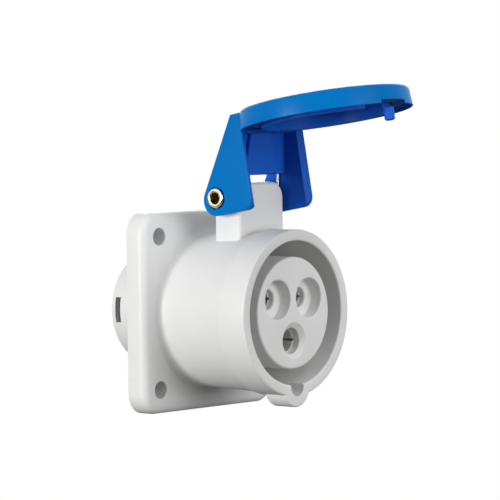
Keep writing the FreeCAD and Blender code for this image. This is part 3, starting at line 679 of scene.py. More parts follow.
def lid_painted_shade_mask(context, material, place):
    """Return 1 where the painted shade goes, under the disc, between the cheeks and on the cheeks' front
    edges of the open lid, and 0 outside.
    """
    lid, hinge = context.scene.socket_lid, context.scene.socket_hinge
    tree = material.node_tree
    pin = Vector((0.0, -hinge.pin_depth, hinge.pin_height))
    shut = tree.nodes.new("ShaderNodeMapping")
    shut.inputs["Rotation"].default_value = (lid.open_angle, 0.0, 0.0)
    shut.inputs["Location"].default_value = pin - Matrix.Rotation(lid.open_angle, 3, "X") @ pin
    tree.links.new(place, shut.inputs["Vector"])
    parts = tree.nodes.new("ShaderNodeSeparateXYZ")
    tree.links.new(shut.outputs["Vector"], parts.inputs["Vector"])
    x, y, z = [parts.outputs[axis] for axis in "XYZ"]
    reach = 0.05 * MM
    side = maths(tree, "ABSOLUTE", x)
    square = maths(tree, "ADD", maths(tree, "POWER", side, 2.0),
                   maths(tree, "POWER", maths(tree, "ABSOLUTE", z), 2.0))
    under_disc = maths(tree, "LESS_THAN", maths(tree, "POWER", square, 0.5), lid.lap_radius + 0.04 * MM)
    between_cheeks = maths(tree, "LESS_THAN", side, lid.cheek_outer - lid.cheek_wall + reach)
    on_front_edge = maths(tree, "MULTIPLY",
                          maths(tree, "LESS_THAN", side, lid.cheek_outer - lid.cheek_edge_radius),
                          maths(tree, "LESS_THAN", z, hinge.pin_height - lid.cheek_front + reach))
    in_neck = maths(tree, "MULTIPLY", maths(tree, "MAXIMUM", between_cheeks, on_front_edge),
                    maths(tree, "GREATER_THAN", z, 0.0))
    below_ceiling = maths(tree, "GREATER_THAN", y, -lid.ceiling_depth - reach)
    return maths(tree, "MULTIPLY", maths(tree, "MAXIMUM", under_disc, in_neck), below_ceiling)


class SOCKET_OT_finishes(bpy.types.Operator):
    """Make the materials and dress every solid of the socket with its own"""

    bl_idname = "socket.finishes"
    bl_label = "Finishes"

    def execute(self, context):
        colours = context.scene.socket_finishes
        even, along_x, along_y = (1.0, 1.0, 1.0), (0.2, 1.0, 1.0), (1.0, 0.2, 1.0)
        finish_of_slot = {
            "grey_moulding": moulded_plastic("GreyMoulding", colours.housing_colour,
                                             roughness=0.42, grain=0.000012, specular=0.3),
            "carrier_moulding": moulded_plastic("CarrierMoulding", colours.carrier_colour,
                                                roughness=0.42, grain=0.000015),
            "blue_moulding": lid_moulding(context, colours),
            "black_rubber": rubber("BlackRubber", colours.flange_gasket_colour),
            "grey_rubber": rubber("LidRubber", colours.lid_gasket_colour),
            "zinc_steel": bright_metal("ZincSteel", colours.zinc_colour,
                                       roughness=0.3, drawn=2600.0, stretch=even),
            "spring_steel": bright_metal("SpringSteel", colours.steel_colour,
                                         roughness=0.28, drawn=2600.0, stretch=even),
            "bright_brass": bright_metal("BrightBrass", colours.brass_colour,
                                         roughness=0.2, drawn=1800.0, stretch=along_x),
            "plated_contact": bright_metal("PlatedContact", colours.contact_colour,
                                           roughness=0.55, drawn=1800.0, stretch=along_y, metallic=0.3),
        }
        for name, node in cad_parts.items():
            material = finish_of_slot[NODE_SLOTS[name]]
            node.data.materials.clear()
            node.data.materials.append(material)
        return {"FINISHED"}


class SOCKET_OT_housing(bpy.types.Operator):
    """Make the housing: flange, barrel, collar with its keyway, and hinge bracket"""

    bl_idname = "socket.housing"
    bl_label = "Housing"

    def execute(self, context):
        sizes = context.scene.socket_housing
        hinge = context.scene.socket_hinge
        body = solid(flange_plate(sizes))
        combine(body, [barrel(sizes), keyway_bump(sizes), hinge_bracket(sizes)], "UNION")
        combine(body, [collar_room(sizes), keyway_groove(sizes), spring_recess(sizes, hinge),
                       pin_bore(sizes, hinge), spring_leg_hole(hinge), gasket_room(sizes),
                       *fixing_holes(sizes)], "DIFFERENCE")
        finish_piece(body, "SocketHousing", "grey_moulding", "housing", "socket_housing")
        return {"FINISHED"}


def rounded_square(half, corner, y):
    """Return a ring of points of a rounded square, square to Y."""
    corner = max(corner, 0.1 * MM)
    corners = [(-half, -half, corner), (half, -half, corner), (half, half, corner), (-half, half, corner)]
    return [(place.x, y, place.y) for place in rounded(corners, True, CORNER_STEPS)]


def flange_plate(sizes):
    """Return the square flange with its front edge rounded over."""
    half = sizes.flange_width / 2
    rings = [rounded_square(half, sizes.flange_corner_radius, 0.0)]
    for back, inset in quarter(sizes.flange_edge_radius):
        rings.append(rounded_square(half - inset, sizes.flange_corner_radius - inset,
                                    -sizes.flange_thickness + back))
    return loft(rings)


def barrel(sizes):
    """Return the barrel and its front band, with a fillet where the barrel leaves the flange."""
    front = -sizes.collar_length
    band = front + sizes.band_length
    step = sizes.collar_radius - sizes.barrel_radius
    root = sizes.barrel_root_radius
    foot = -sizes.flange_thickness
    fillet = sizes.barrel_root_fillet
    inside_flange = foot * 0.6
    arc = fillet * 0.98
    corners = [
        (0.0, inside_flange, 0.0),
        (root + fillet, inside_flange, 0.0),
        (root + fillet, foot, 0.0),
        (root, foot, arc),
        (sizes.barrel_radius, band, BAND_FOOT_ROUNDING),
        (sizes.collar_radius, band - step, BAND_BACK_ROUNDING),
        (sizes.collar_radius, front, sizes.collar_edge_radius),
        (0.0, front, 0.0),
    ]
    return lathe(rounded(corners, False), TURN_STEPS)


def keyway_bump(sizes):
    """Return the bump that holds the keyway, sloped down to the barrel at its back."""
    front = -sizes.collar_length
    back = front + sizes.band_length
    radius = sizes.bump_radius
    centre = -(sizes.collar_bore_radius + sizes.bump_drop - radius)
    tail = radius - (sizes.collar_bore_radius + sizes.bump_drop - sizes.barrel_radius) / 2
    rings = [(radius - inset, front + back, centre) for inset, back in quarter(sizes.collar_edge_radius)]
    slope = sizes.bump_slope
    for part in (0.0, 0.08, 0.2, 0.5, 1.0):
        share = part * part * (3 - 2 * part) if part < 0.5 else part
        rings.append((radius + (tail - radius) * share, back - slope + slope * part,
                      centre + (-(sizes.barrel_radius - tail) - centre) * share))
    return loft([[(place.x, y, place.y) for place in circle(reach, RING_STEPS, (0.0, z))]
                 for reach, y, z in rings])


def hinge_bracket(sizes):
    """Return the block that carries the pin, with round top corners and soft top edges."""
    half, top = sizes.bracket_half_width, sizes.bracket_top
    corner = sizes.bracket_corner_radius
    front, back = -sizes.bracket_front_depth, -sizes.bracket_back_depth
    outline = rounded([(-half, 0.0, 0.0), (half, 0.0, 0.0), (half, top, corner), (-half, top, corner)],
                      True, CORNER_STEPS)
    rings = []
    for end, way in ((front, 1), (back, -1)):
        some = []
        for inset, along in quarter(sizes.bracket_edge_radius):
            some.append([bracket_point(place, inset, half, top, corner, end + way * along)
                         for place in outline])
        rings.extend(some if way == 1 else reversed(some))
    return loft(rings)


def bracket_point(place, inset, half, top, corner, y):
    """Move a point of the bracket's outline in by an inset that fades out down its sides."""
    start = top - corner
    fade = min(1.0, max(0.25, 1.0 - (start - place.y) / (2 * corner)))
    if place.y > start:
        towards = Vector((max(-half + corner, min(half - corner, place.x)), start))
        way = (place - towards).normalized()
    else:
        way = Vector((math.copysign(1.0, place.x), 0.0))
    moved = place - way * inset * fade
    return (moved.x, y, moved.y)


def collar_room(sizes):
    """Return the room inside the collar, stepped down to the carrier's hole and its flange."""
    front = -sizes.collar_length
    edge = sizes.collar_edge_radius
    bore = sizes.collar_bore_radius
    corners = [(0.0, front - MARGIN), (bore + edge, front - MARGIN)]
    corners += [(bore + inset, front + back) for inset, back in quarter(edge)]
    carrier = sizes.carrier_hole_radius
    recess = sizes.carrier_recess_radius
    depth = -sizes.carrier_recess_depth
    corners += [(bore, -sizes.floor_depth), (carrier, -sizes.floor_depth), (carrier, depth),
                (recess, depth), (recess, MARGIN), (0.0, MARGIN)]
    return lathe(corners, TURN_STEPS)


def keyway_groove(sizes):
    """Return the room of the keyway, a slot with a round bottom."""
    half = sizes.keyway_half_width
    bottom = -(sizes.collar_bore_radius + sizes.keyway_depth)
    inside = bottom + 2 * half
    almost_half = half * 0.999
    outline = rounded([(-half, bottom, almost_half), (half, bottom, almost_half), (half, inside, 0.0),
                       (-half, inside, 0.0)], True, KEYWAY_STEPS)
    front = -sizes.collar_length
    ends = (front - MARGIN, front + sizes.keyway_length)
    return loft([[(place.x, y, place.y) for place in outline] for y in ends])


def spring_recess(sizes, hinge):
    """Return the room for the spring behind the bracket's front wall."""
    reach = hinge.coil_radius + hinge.wire_radius + hinge.spring_room
    x_from = hinge.coil_start - hinge.wire_radius - hinge.spring_room
    return block((x_from, sizes.bracket_half_width + MARGIN),
                 (-hinge.pin_depth - reach, -sizes.bracket_back_depth + MARGIN),
                 (hinge.pin_height - reach, sizes.bracket_top + MARGIN))


def cross_lathe(profile, steps, hinge, closed=False):
    """Turn a profile of (radius, x) points about the pin."""
    shell = lathe(profile, steps, closed=closed)
    onto_pin = Matrix(((0, 1, 0, 0), (1, 0, 0, -hinge.pin_depth), (0, 0, 1, hinge.pin_height), (0, 0, 0, 1)))
    shell.transform(onto_pin)
    return shell


def pin_bore(sizes, hinge):
    """Return the bracket's bore for the pin."""
    radius = hinge.pin_radius + hinge.pin_play
    reach = sizes.bracket_half_width + MARGIN
    return cross_lathe([(radius, -reach), (radius, reach)], HOLE_STEPS, hinge)


def spring_leg_hole(hinge):
    """Return the hole in the bracket that holds the spring's lower leg."""
    gap = 0.15 * MM
    radius = hinge.wire_radius + gap
    shell = lathe([(radius, 0.0), (radius, hinge.leg_down + gap)], LEG_HOLE_STEPS)
    place = Vector((hinge.coil_start, -hinge.pin_depth - hinge.coil_radius, hinge.pin_height))
    shell.transform(Matrix.Translation(place) @ Matrix.Rotation(-math.pi / 2, 4, "X"))
    return shell


def gasket_room(sizes):
    """Return the recess for the gasket in the back of the flange, around a round island."""
    half = sizes.flange_width / 2 - sizes.flange_rim
    corner = sizes.flange_corner_radius - sizes.flange_rim
    plate = solid(loft([rounded_square(half, corner, y) for y in (-sizes.gasket_recess, MARGIN)]))
    island = rod(sizes.gasket_island_radius, -MARGIN - sizes.gasket_recess, 2 * MARGIN, steps=TURN_STEPS)
    combine(plate, [island], "DIFFERENCE")
    shell = bmesh.new()
    shell.from_mesh(plate.data)
    bpy.data.objects.remove(plate)
    return shell


def fixing_holes(sizes):
    """Return the four screw holes of the flange, each with a softened mouth."""
    half = sizes.fixing_spacing / 2
    radius, mouth = sizes.fixing_hole_radius, SOFT_EDGE
    front = -sizes.flange_thickness
    profile = [(0.0, front - MARGIN), (radius + mouth, front - MARGIN)]
    profile += [(radius + inset, front + back) for inset, back in quarter(mouth)]
    profile += [(radius, MARGIN), (0.0, MARGIN)]
    return [lathe(profile, HOLE_STEPS, (x, z)) for x in (-half, half) for z in (-half, half)]


class SOCKET_OT_carrier(bpy.types.Operator):
    """Make the contact carrier with its three holes"""

    bl_idname = "socket.carrier"
    bl_label = "Contact carrier"

    def execute(self, context):
        sizes = context.scene.socket_carrier
        front = -sizes.face_depth
        flange = sizes.flange_radius
        profile = rounded([
            (0.0, front, 0.0), (sizes.face_radius, front, sizes.face_edge_radius),
            (sizes.face_radius, -sizes.flange_thickness, SOFT_EDGE),
            (flange, -sizes.flange_thickness, SOFT_EDGE), (flange, 0.0, SOFT_EDGE), (0.0, 0.0, 0.0)], False)
        body = solid(lathe(profile, TURN_STEPS))
        combine(body, carrier_spigot(), "UNION")
        tools = [pin_hole(sizes, pole) for pole in POLES]
        hole, seat = CARRIER_SCREW_HOLE_RADIUS, CARRIER_SCREW_SEAT_RADIUS
        sunk = [(0.0, -CARRIER_SCREW_HOLE_DEPTH), (hole, -CARRIER_SCREW_HOLE_DEPTH),
                (hole, -CARRIER_SCREW_SEAT_DEPTH), (seat, 0.0), (seat, MARGIN), (0.0, MARGIN)]
        for angle in CARRIER_SCREW_ANGLES:
            tools.append(lathe(sunk, SMALL_STEPS, on_circle(sizes.screw_circle, angle)))
        combine(body, tools, "DIFFERENCE")
        finish_piece(body, "ContactCarrier", "carrier_moulding", "housing", "contact_carrier")
        return {"FINISHED"}


def carrier_spigot():
    """Return the ring that centres the shroud and the post that takes its screw."""
    inner, outer = SPIGOT_INNER_RADIUS, SPIGOT_OUTER_RADIUS
    ring = lathe([(inner, -MARGIN), (outer, -MARGIN), (outer, SPIGOT_HEIGHT), (inner, SPIGOT_HEIGHT)],
                 RING_STEPS, closed=True)
    post = lathe([(0.0, -MARGIN), (POST_RADIUS, -MARGIN), (POST_RADIUS, POST_END),
                  (POST_HOLE_RADIUS, POST_END), (POST_HOLE_RADIUS, POST_HOLE_FLOOR),
                  (0.0, POST_HOLE_FLOOR)], HOLE_STEPS)
    return [ring, post]


def pin_hole(sizes, pole):
    """Return the stepped room of one pole: its guide, its pin hole and the room for its contact."""
    place = on_circle(sizes.pole_circle_radius, POLES[pole])
    front = -sizes.face_depth
    if pole == "earth":
        floor = front + sizes.earth_flare_depth + sizes.earth_floor
        corners = [(0.0, front - MARGIN, 0.0), (sizes.earth_flare_radius, front - MARGIN, 0.0),
                   (sizes.earth_flare_radius, front, 0.0),
                   (sizes.earth_hole_radius, front + sizes.earth_flare_depth, SOFT_EDGE)]
        hole = sizes.earth_hole_radius
    else:
        guide_floor = front + sizes.guide_depth
        floor = guide_floor + sizes.guide_floor
        corners = [(0.0, front - MARGIN, 0.0),
                   (sizes.guide_radius + sizes.guide_rim_radius, front - MARGIN, 0.0)]
        corners += quarter_round(sizes.guide_radius, front, sizes.guide_rim_radius)
        corners.append((sizes.guide_radius, guide_floor, 0.25 * MM))
        corners += quarter_round(sizes.guide_hole_radius, guide_floor, sizes.guide_hole_rim_radius)
        hole = sizes.guide_hole_radius
    room = CONTACT_ROOM_RADIUS[pole]
    wide_room = room + CONTACT_SHOULDER_STEP
    corners += [(hole, floor, 0.0), (room, floor, 0.0), (room, -CONTACT_SHOULDER_DEPTH, 0.0),
                (wide_room, -CONTACT_SHOULDER_DEPTH, 0.0), (wide_room, MARGIN, 0.0), (0.0, MARGIN, 0.0)]
    return lathe(rounded(corners, False), RING_STEPS, place)


def quarter_round(radius, y, edge):
    """Return profile points of a hole's rounded mouth, from its face inwards."""
    return [(radius + inset, y + back, 0.0) for inset, back in quarter(edge)]


class SOCKET_OT_lid(bpy.types.Operator):
    """Make the lid shut, with its disc, rim, sealing ring, peg, cheeks and web, and swing it open"""

    bl_idname = "socket.lid"
    bl_label = "Lid"

    def execute(self, context):
        sizes = context.scene.socket_lid
        hinge = context.scene.socket_hinge
        housing = context.scene.socket_housing
        body = lid_neck(sizes, hinge, housing)
        combine(body, [lid_disc(sizes), lid_peg(sizes)], "UNION")
        bump = -(housing.collar_bore_radius + housing.bump_drop - housing.bump_radius)
        notch = rod(housing.bump_radius + sizes.rim_gap, -sizes.seal_depth, -sizes.rim_depth + MARGIN,
                    0.0, bump, RING_STEPS)
        reach = sizes.cheek_outer + MARGIN
        bore = cross_lathe([(hinge.pin_radius, -reach), (hinge.pin_radius, reach)], HOLE_STEPS, hinge)
        combine(body, [notch, bore, *head_grooves(sizes, hinge)], "DIFFERENCE")
        swing_open(body, sizes, hinge)
        finish_piece(body, "Lid", "blue_moulding", "lid_unit", "lid")
        return {"FINISHED"}


def head_grooves(sizes, hinge):
    """Return the two rings cut into the cheeks round the heads of the pin."""
    inner, outer = hinge.head_radius - 0.1 * MM, hinge.head_radius + hinge.groove_width
    floor, mouth = sizes.cheek_outer - hinge.groove_depth, sizes.cheek_outer + MARGIN
    grooves = []
    for low, high in ((-mouth, -floor), (floor, mouth)):
        section = [(inner, low), (outer, low), (outer, high), (inner, high)]
        grooves.append(cross_lathe(section, RING_STEPS, hinge, True))
    return grooves


def swing_open(made, sizes, hinge):
    """Turn a piece of the shut lid about the pin to the open position."""
    pin = Matrix.Translation((0.0, -hinge.pin_depth, hinge.pin_height))
    made.data.transform(pin @ Matrix.Rotation(-sizes.open_angle, 4, "X") @ pin.inverted())


def lid_disc(sizes):
    """Return the disc: low dome, drafted rim, lap over the collar, seal seat and sealing ring."""
    top, edge = -sizes.top_depth, sizes.edge_radius
    crown = sizes.crown
    foot = sizes.rim_radius - sizes.rim_draft - edge
    sphere = (foot ** 2 + crown ** 2) / (2 * crown)
    profile = []
    dome_steps = 13
    for step in range(dome_steps):
        radius = foot * step / dome_steps
        profile.append((radius, top + sphere - math.sqrt(sphere ** 2 - radius ** 2), 0.0))
    rim, seal, ceiling = -sizes.rim_depth, -sizes.seal_depth, -sizes.ceiling_depth
    ring, ring_inner = sizes.ring_radius, sizes.ring_radius - sizes.ring_wall
    ring_end = rim + sizes.ring_reach
    profile += [
        (sizes.rim_radius - sizes.rim_draft, top + crown, edge),
        (sizes.rim_radius, rim, 0.2 * MM),
        (sizes.lap_radius, rim, 0.2 * MM),
        (sizes.lap_radius, seal, 0.15 * MM),
        (sizes.rim_inner_radius, seal, 0.2 * MM),
        (sizes.rim_inner_radius, ceiling, 0.3 * MM),
        (ring, ceiling, 0.2 * MM),
        (ring, ring_end, 0.3 * MM),
        (ring_inner, ring_end, 0.3 * MM),
        (ring_inner, ceiling, 0.4 * MM),
        (0.0, ceiling, 0.0),
    ]
    return lathe(rounded(profile, False), TURN_STEPS)


def lid_peg(sizes):
    """Return the peg that drops into the keyway."""
    root = -sizes.ceiling_depth - PEG_ROOT
    end = -sizes.rim_depth + sizes.peg_reach
    profile = rounded([(0.0, root, 0.0), (sizes.peg_radius, root, 0.0),
                       (sizes.peg_radius, end, sizes.peg_tip_radius), (0.0, end, 0.0)], False)
    return lathe(profile, SMALL_STEPS, (0.0, -sizes.peg_circle_radius))


def neck_shell(outline, x_from, x_to, hinge):
    """Return a prism along X whose outline is (down, ahead) of the pin, for the shut lid."""
    return prism(outline, x_from, x_to,
                 lambda x, down, ahead: (x, -hinge.pin_depth - ahead, hinge.pin_height - down))


def lid_neck(sizes, hinge, housing):
    """Return the cheeks, the web with its raised panel, and the boss around the pin."""
    outer, inner = sizes.cheek_outer, sizes.cheek_outer - sizes.cheek_wall
    lean, web_lean = math.tan(sizes.neck_lean), math.tan(sizes.open_angle - math.pi / 2)
    top = sizes.top_depth - sizes.neck_top_drop - hinge.pin_depth
    back = -sizes.knuckle_radius / math.cos(sizes.neck_lean)
    corners = [
        (back - sizes.cheek_bottom * lean, -sizes.cheek_bottom, sizes.knuckle_radius),
        (sizes.cheek_front, -sizes.cheek_bottom, sizes.cheek_corner_radius),
        (sizes.cheek_front, top, 0.0),
        (back + top * lean, top, sizes.neck_top_radius),
    ]
    neck = solid(soft_prism(corners, outer, sizes.cheek_edge_radius, hinge))
    far = NECK_ROOM_REACH
    coil_room = hinge.coil_radius + hinge.wire_radius + COIL_GAP
    web_back = coil_room / math.cos(sizes.open_angle - math.pi / 2)
    web_front = web_back + sizes.web_wall
    ceiling = sizes.ceiling_depth - hinge.pin_depth
    room_top = sizes.front_room_top
    bottom = housing.bracket_front_depth - hinge.pin_depth + BRACKET_GAP
    front_room = [(web_front - web_lean * far, -far), (far, -far), (far, room_top),
                  (web_front + web_lean * room_top, room_top)]
    back_room = [(web_back - web_lean * far, -far), (web_back + web_lean * ceiling, ceiling),
                 (-far, ceiling), (-far, -far)]
    below = [(-far, -far), (far, -far), (far, bottom), (-far, bottom)]
    for room in (front_room, back_room, below):
        combine(neck, [neck_shell(room, -inner, inner, hinge)], "DIFFERENCE")
    boss = cross_lathe([(sizes.boss_radius, -inner - BOSS_GAP),
                        (sizes.boss_radius, -housing.bracket_half_width - BOSS_GAP)], HOLE_STEPS, hinge)
    combine(neck, [web_panel(sizes, hinge, web_front, web_lean, bottom, room_top), boss], "UNION")
    lap_room = rod(sizes.lap_radius, -sizes.seal_depth, MARGIN, steps=TURN_STEPS)
    rim_room = rod(sizes.rim_inner_radius, -sizes.ceiling_depth, -sizes.seal_depth + MARGIN,
                   steps=TURN_STEPS)
    combine(neck, [lap_room, rim_room], "DIFFERENCE")
    return neck


def soft_prism(corners, half, edge, hinge):
    """Return the neck's block along X, its outline drawn in at both ends to round their edges."""
    rings = []
    for side in (-1, 1):
        some = []
        for inset, along in quarter(edge):
            x = side * (half - along)
            some.append([(x, -hinge.pin_depth - ahead, hinge.pin_height - down)
                         for down, ahead in rounded(inset_corners(corners, inset), True, CORNER_STEPS)])
        rings.extend(some if side < 0 else reversed(some))
    return loft(rings)


def inset_corners(corners, inset):
    """Return an outline's corners moved in by an inset, with their radii reduced by it."""
    moved = []
    for index, (u, v, radius) in enumerate(corners):
        corner = Vector((u, v))
        before = (Vector(corners[index - 1][:2]) - corner).normalized()
        after = (Vector(corners[(index + 1) % len(corners)][:2]) - corner).normalized()
        reach = inset / math.sin(before.angle(after) / 2)
        place = corner + (before + after).normalized() * reach
        moved.append((place.x, place.y, max(radius - inset, 0.0)))
    return moved


def web_panel(sizes, hinge, web_front, web_lean, bottom, top):
    """Return the raised panel on the front of the web, narrower towards the disc."""
    rings = []
    lows = [(sizes.panel_bottom_half, bottom), (sizes.panel_top_half, top)]
    bevel, height = 0.35 * MM, sizes.panel_raise
    for rise, inset in ((-sizes.web_wall / 2, 0.0), (height - bevel, 0.0), (height, bevel)):
        ring = []
        for side, (half, ahead) in ((-1, lows[0]), (1, lows[0]), (1, lows[1]), (-1, lows[1])):
            down = web_front + web_lean * ahead + rise
            ring.append((side * (half - inset), -hinge.pin_depth - ahead, hinge.pin_height - down))
        rings.append(ring)
    return loft(rings)


class SOCKET_OT_lid_gasket(bpy.types.Operator):
    """Make the rubber ring inside the lid"""

    bl_idname = "socket.lid_gasket"
    bl_label = "Lid gasket"

    def execute(self, context):
        sizes = context.scene.socket_lid
        hinge = context.scene.socket_hinge
        outer, inner = sizes.rim_inner_radius - GASKET_PLAY, sizes.ring_radius + GASKET_PLAY
        floor, face = -sizes.ceiling_depth, -sizes.seal_depth
        soft = 0.5 * MM
        profile = rounded([(inner, floor, 0.0), (outer, floor, 0.0),
                           (outer, face, soft), (inner, face, soft)])
        body = solid(lathe(profile, TURN_STEPS, closed=True))
        hole = rod(sizes.peg_radius + GASKET_PLAY, floor - MARGIN, face + MARGIN, 0.0,
                   -sizes.peg_circle_radius, SMALL_STEPS)
        combine(body, [hole], "DIFFERENCE")
        swing_open(body, sizes, hinge)
        finish_piece(body, "LidGasket", "grey_rubber", "lid_unit", "lid_gasket")
        return {"FINISHED"}


class SOCKET_OT_flange_gasket(bpy.types.Operator):
    """Make the flat gasket in the back of the flange"""

    bl_idname = "socket.flange_gasket"
    bl_label = "Flange gasket"

    def execute(self, context):
        sizes = context.scene.socket_housing
        half = sizes.flange_width / 2 - sizes.flange_rim - GASKET_PLAY
        corner = sizes.flange_corner_radius - sizes.flange_rim
        soft = 0.25 * MM
        rings = [rounded_square(half, corner, -sizes.gasket_recess), rounded_square(half, corner, -soft),
                 rounded_square(half - soft, corner - soft, 0.0)]
        body = solid(loft(rings))
        front = -sizes.gasket_recess - MARGIN
        out = sizes.fixing_spacing / 2
        tools = [rod(sizes.gasket_island_radius + GASKET_PLAY, front, MARGIN, steps=TURN_STEPS)]
        tools += [rod(sizes.fixing_hole_radius, front, MARGIN, x, z, SMALL_STEPS)
                  for x in (-out, out) for z in (-out, out)]
        combine(body, tools, "DIFFERENCE")
        finish_piece(body, "FlangeGasket", "black_rubber", "housing", "flange_gasket")
        return {"FINISHED"}


class SOCKET_OT_shroud(bpy.types.Operator):
    """Make the terminal shroud with its wire funnels, side windows and driver holes"""

    bl_idname = "socket.shroud"
    bl_label = "Terminal shroud"

    def execute(self, context):
        sizes = context.scene.socket_shroud
        carrier = context.scene.socket_carrier
        end, radius = sizes.length, sizes.radius
        inner, floor = radius - sizes.wall, end - sizes.back_wall
        profile = rounded([
            (0.0, floor, 0.0), (inner, floor, SHROUD_FLOOR_ROUNDING), (inner, 0.0, THIN_EDGE),
            (radius, 0.0, THIN_EDGE), (radius, end, sizes.edge_radius), (0.0, end, 0.0)], False)
        body = solid(lathe(profile, TURN_STEPS))
        bore, flare = sizes.funnel_radius, sizes.funnel_radius + sizes.funnel_flare
        funnel = [(0.0, FUNNEL_BORE_START), (bore, FUNNEL_BORE_START), (bore, end - sizes.funnel_flare),
                  (flare, end), (flare, end + MARGIN), (0.0, end + MARGIN)]
        tube_end = floor + SHROUD_TUBE_WELD
        joined = [rod(sizes.screw_room_radius + SHROUD_TUBE_WALL, SHROUD_SCREW_SEAT, tube_end)]
        cut = [rod(sizes.screw_room_radius, end - SHROUD_SCREW_ROOM_DEPTH, end + MARGIN),
               rod(SHROUD_SCREW_HOLE_RADIUS, SHROUD_SCREW_SEAT - MARGIN, end + MARGIN, steps=SMALL_STEPS)]
        for angle in POLES.values():
            place = on_circle(carrier.pole_circle_radius, angle)
            joined.append(rod(bore + SHROUD_TUBE_WALL, FUNNEL_START, tube_end, *place))
            cut += [lathe(funnel, HOLE_STEPS, place), driver_hole(sizes, angle)]
        combine(body, joined, "UNION")
        combine(body, cut, "DIFFERENCE")
        back = end - WINDOW_BACK_WALL
        near, far = inner - WINDOW_START, radius + MARGIN
        for window in ((-far, -near), (near, far)):
            combine(body, [block(window, (back - sizes.window_length, back),
                                 (-sizes.window_width / 2, sizes.window_width / 2))], "DIFFERENCE")
        finish_piece(body, "TerminalShroud", "grey_moulding", "housing", "terminal_shroud")
        return {"FINISHED"}


def driver_hole(sizes, angle):
    """Return a hole through the side of the shroud in line with a terminal screw."""
    radius = sizes.driver_hole_radius
    shell = lathe([(radius, DRIVER_HOLE_START), (radius, sizes.radius + MARGIN)], HOLE_STEPS)
    turned = Matrix.Rotation(math.radians(90 - angle), 4, "Y") @ Matrix.Rotation(math.pi / 2, 4, "X")
    shell.transform(Matrix.Translation((0.0, sizes.driver_hole_depth, 0.0)) @ turned)
    return shell


class SOCKET_OT_hinge_pin(bpy.types.Operator):
    """Make the hollow rivet that carries the lid"""

    bl_idname = "socket.hinge_pin"
    bl_label = "Hinge pin"

    def execute(self, context):
        hinge = context.scene.socket_hinge
        lid = context.scene.socket_lid
        cheek = lid.cheek_outer
        end = cheek + hinge.head_height
        bore, shank, head = hinge.pin_bore_radius, hinge.pin_radius, hinge.head_radius
        left_end = [(bore, -end, hinge.mouth_rounding), (head, -end, hinge.head_rounding),
                    (head, -cheek, HEAD_FOOT_ROUNDING), (shank, -cheek, 0.0)]
        right_end = [(radius, -x, rounding) for radius, x, rounding in reversed(left_end)]
        profile = rounded(left_end + right_end, steps=HEAD_STEPS)
        body = solid(cross_lathe(profile, RING_STEPS, hinge, closed=True))
        finish_piece(body, "HingePin", "bright_brass", "lid_unit", "hinge_pin")
        return {"FINISHED"}


class SOCKET_OT_lid_spring(bpy.types.Operator):
    """Make the torsion spring from a wire that follows its own path"""

    bl_idname = "socket.lid_spring"
    bl_label = "Lid spring"

    def execute(self, context):
        hinge = context.scene.socket_hinge
        wire = bpy.data.curves.new("SpringWire", "CURVE")
        wire.dimensions = "3D"
        path = spring_path(hinge)
        line = wire.splines.new("POLY")
        line.points.add(len(path) - 1)
        for point, place in zip(line.points, path):
            point.co = (*place, 1.0)
        made = bpy.data.objects.new("LidSpring", wire)
        context.collection.objects.link(made)
        tree, inputs = wire_tree()
        modifier = made.modifiers.new("Wire", "NODES")
        modifier.node_group = tree
        modifier[inputs["Wire radius"]] = hinge.wire_radius
        modifier[inputs["Sides"]] = WIRE_SIDES
        modifier[inputs["Finish"]] = bpy.data.materials[FINISH_NAMES["spring_steel"]]
        depsgraph = context.evaluated_depsgraph_get()
        mesh = bpy.data.meshes.new_from_object(made.evaluated_get(depsgraph))
        bpy.data.objects.remove(made)
        spring = bpy.data.objects.new("LidSpring", mesh)
        context.collection.objects.link(spring)
        smooth(mesh, sharp_angle=60.0)
        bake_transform(spring)
        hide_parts("lid_spring")
        return {"FINISHED"}


def spring_path(hinge):
    """Return the spring's path: its lower leg, its coil about the pin and its upper leg."""
    centre = Vector((hinge.coil_start, -hinge.pin_depth, hinge.pin_height))
    radius, pitch = hinge.coil_radius, hinge.coil_pitch
    along = Vector((pitch / math.tau, 0.0, radius)).normalized()
    coil = []
    steps = COIL_STEPS * hinge.coil_turns
    for step in range(steps + 1):
        turn = math.tau * hinge.coil_turns * step / steps
        coil.append(centre + Vector((pitch * turn / math.tau, -radius * math.cos(turn),
                                     radius * math.sin(turn))))
    return [coil[0] - along * hinge.leg_down, *coil, coil[-1] + along * hinge.leg_up]


def start_tree(name, wanted):
    """Start a modifier's node tree, and return it, its input node and its inputs' identifiers."""
    tree = bpy.data.node_groups.new(name, "GeometryNodeTree")
    face = tree.interface
    face.new_socket("Geometry", in_out="INPUT", socket_type="NodeSocketGeometry")
    inputs = {}
    for label, kind in wanted:
        inputs[label] = face.new_socket(label, in_out="INPUT", socket_type="NodeSocket" + kind).identifier
    face.new_socket("Geometry", in_out="OUTPUT", socket_type="NodeSocketGeometry")
    return tree, tree.nodes.new("NodeGroupInput"), inputs


def end_tree(tree, start, shape):
    """End a node tree: make its instances real, give them the finish and hand them out."""
    real = tree.nodes.new("GeometryNodeRealizeInstances")
    dress = tree.nodes.new("GeometryNodeSetMaterial")
    end = tree.nodes.new("NodeGroupOutput")
    link = tree.links.new
    link(shape, real.inputs["Geometry"])
    link(real.outputs["Geometry"], dress.inputs["Geometry"])
    link(start.outputs["Finish"], dress.inputs["Material"])
    link(dress.outputs["Geometry"], end.inputs["Geometry"])


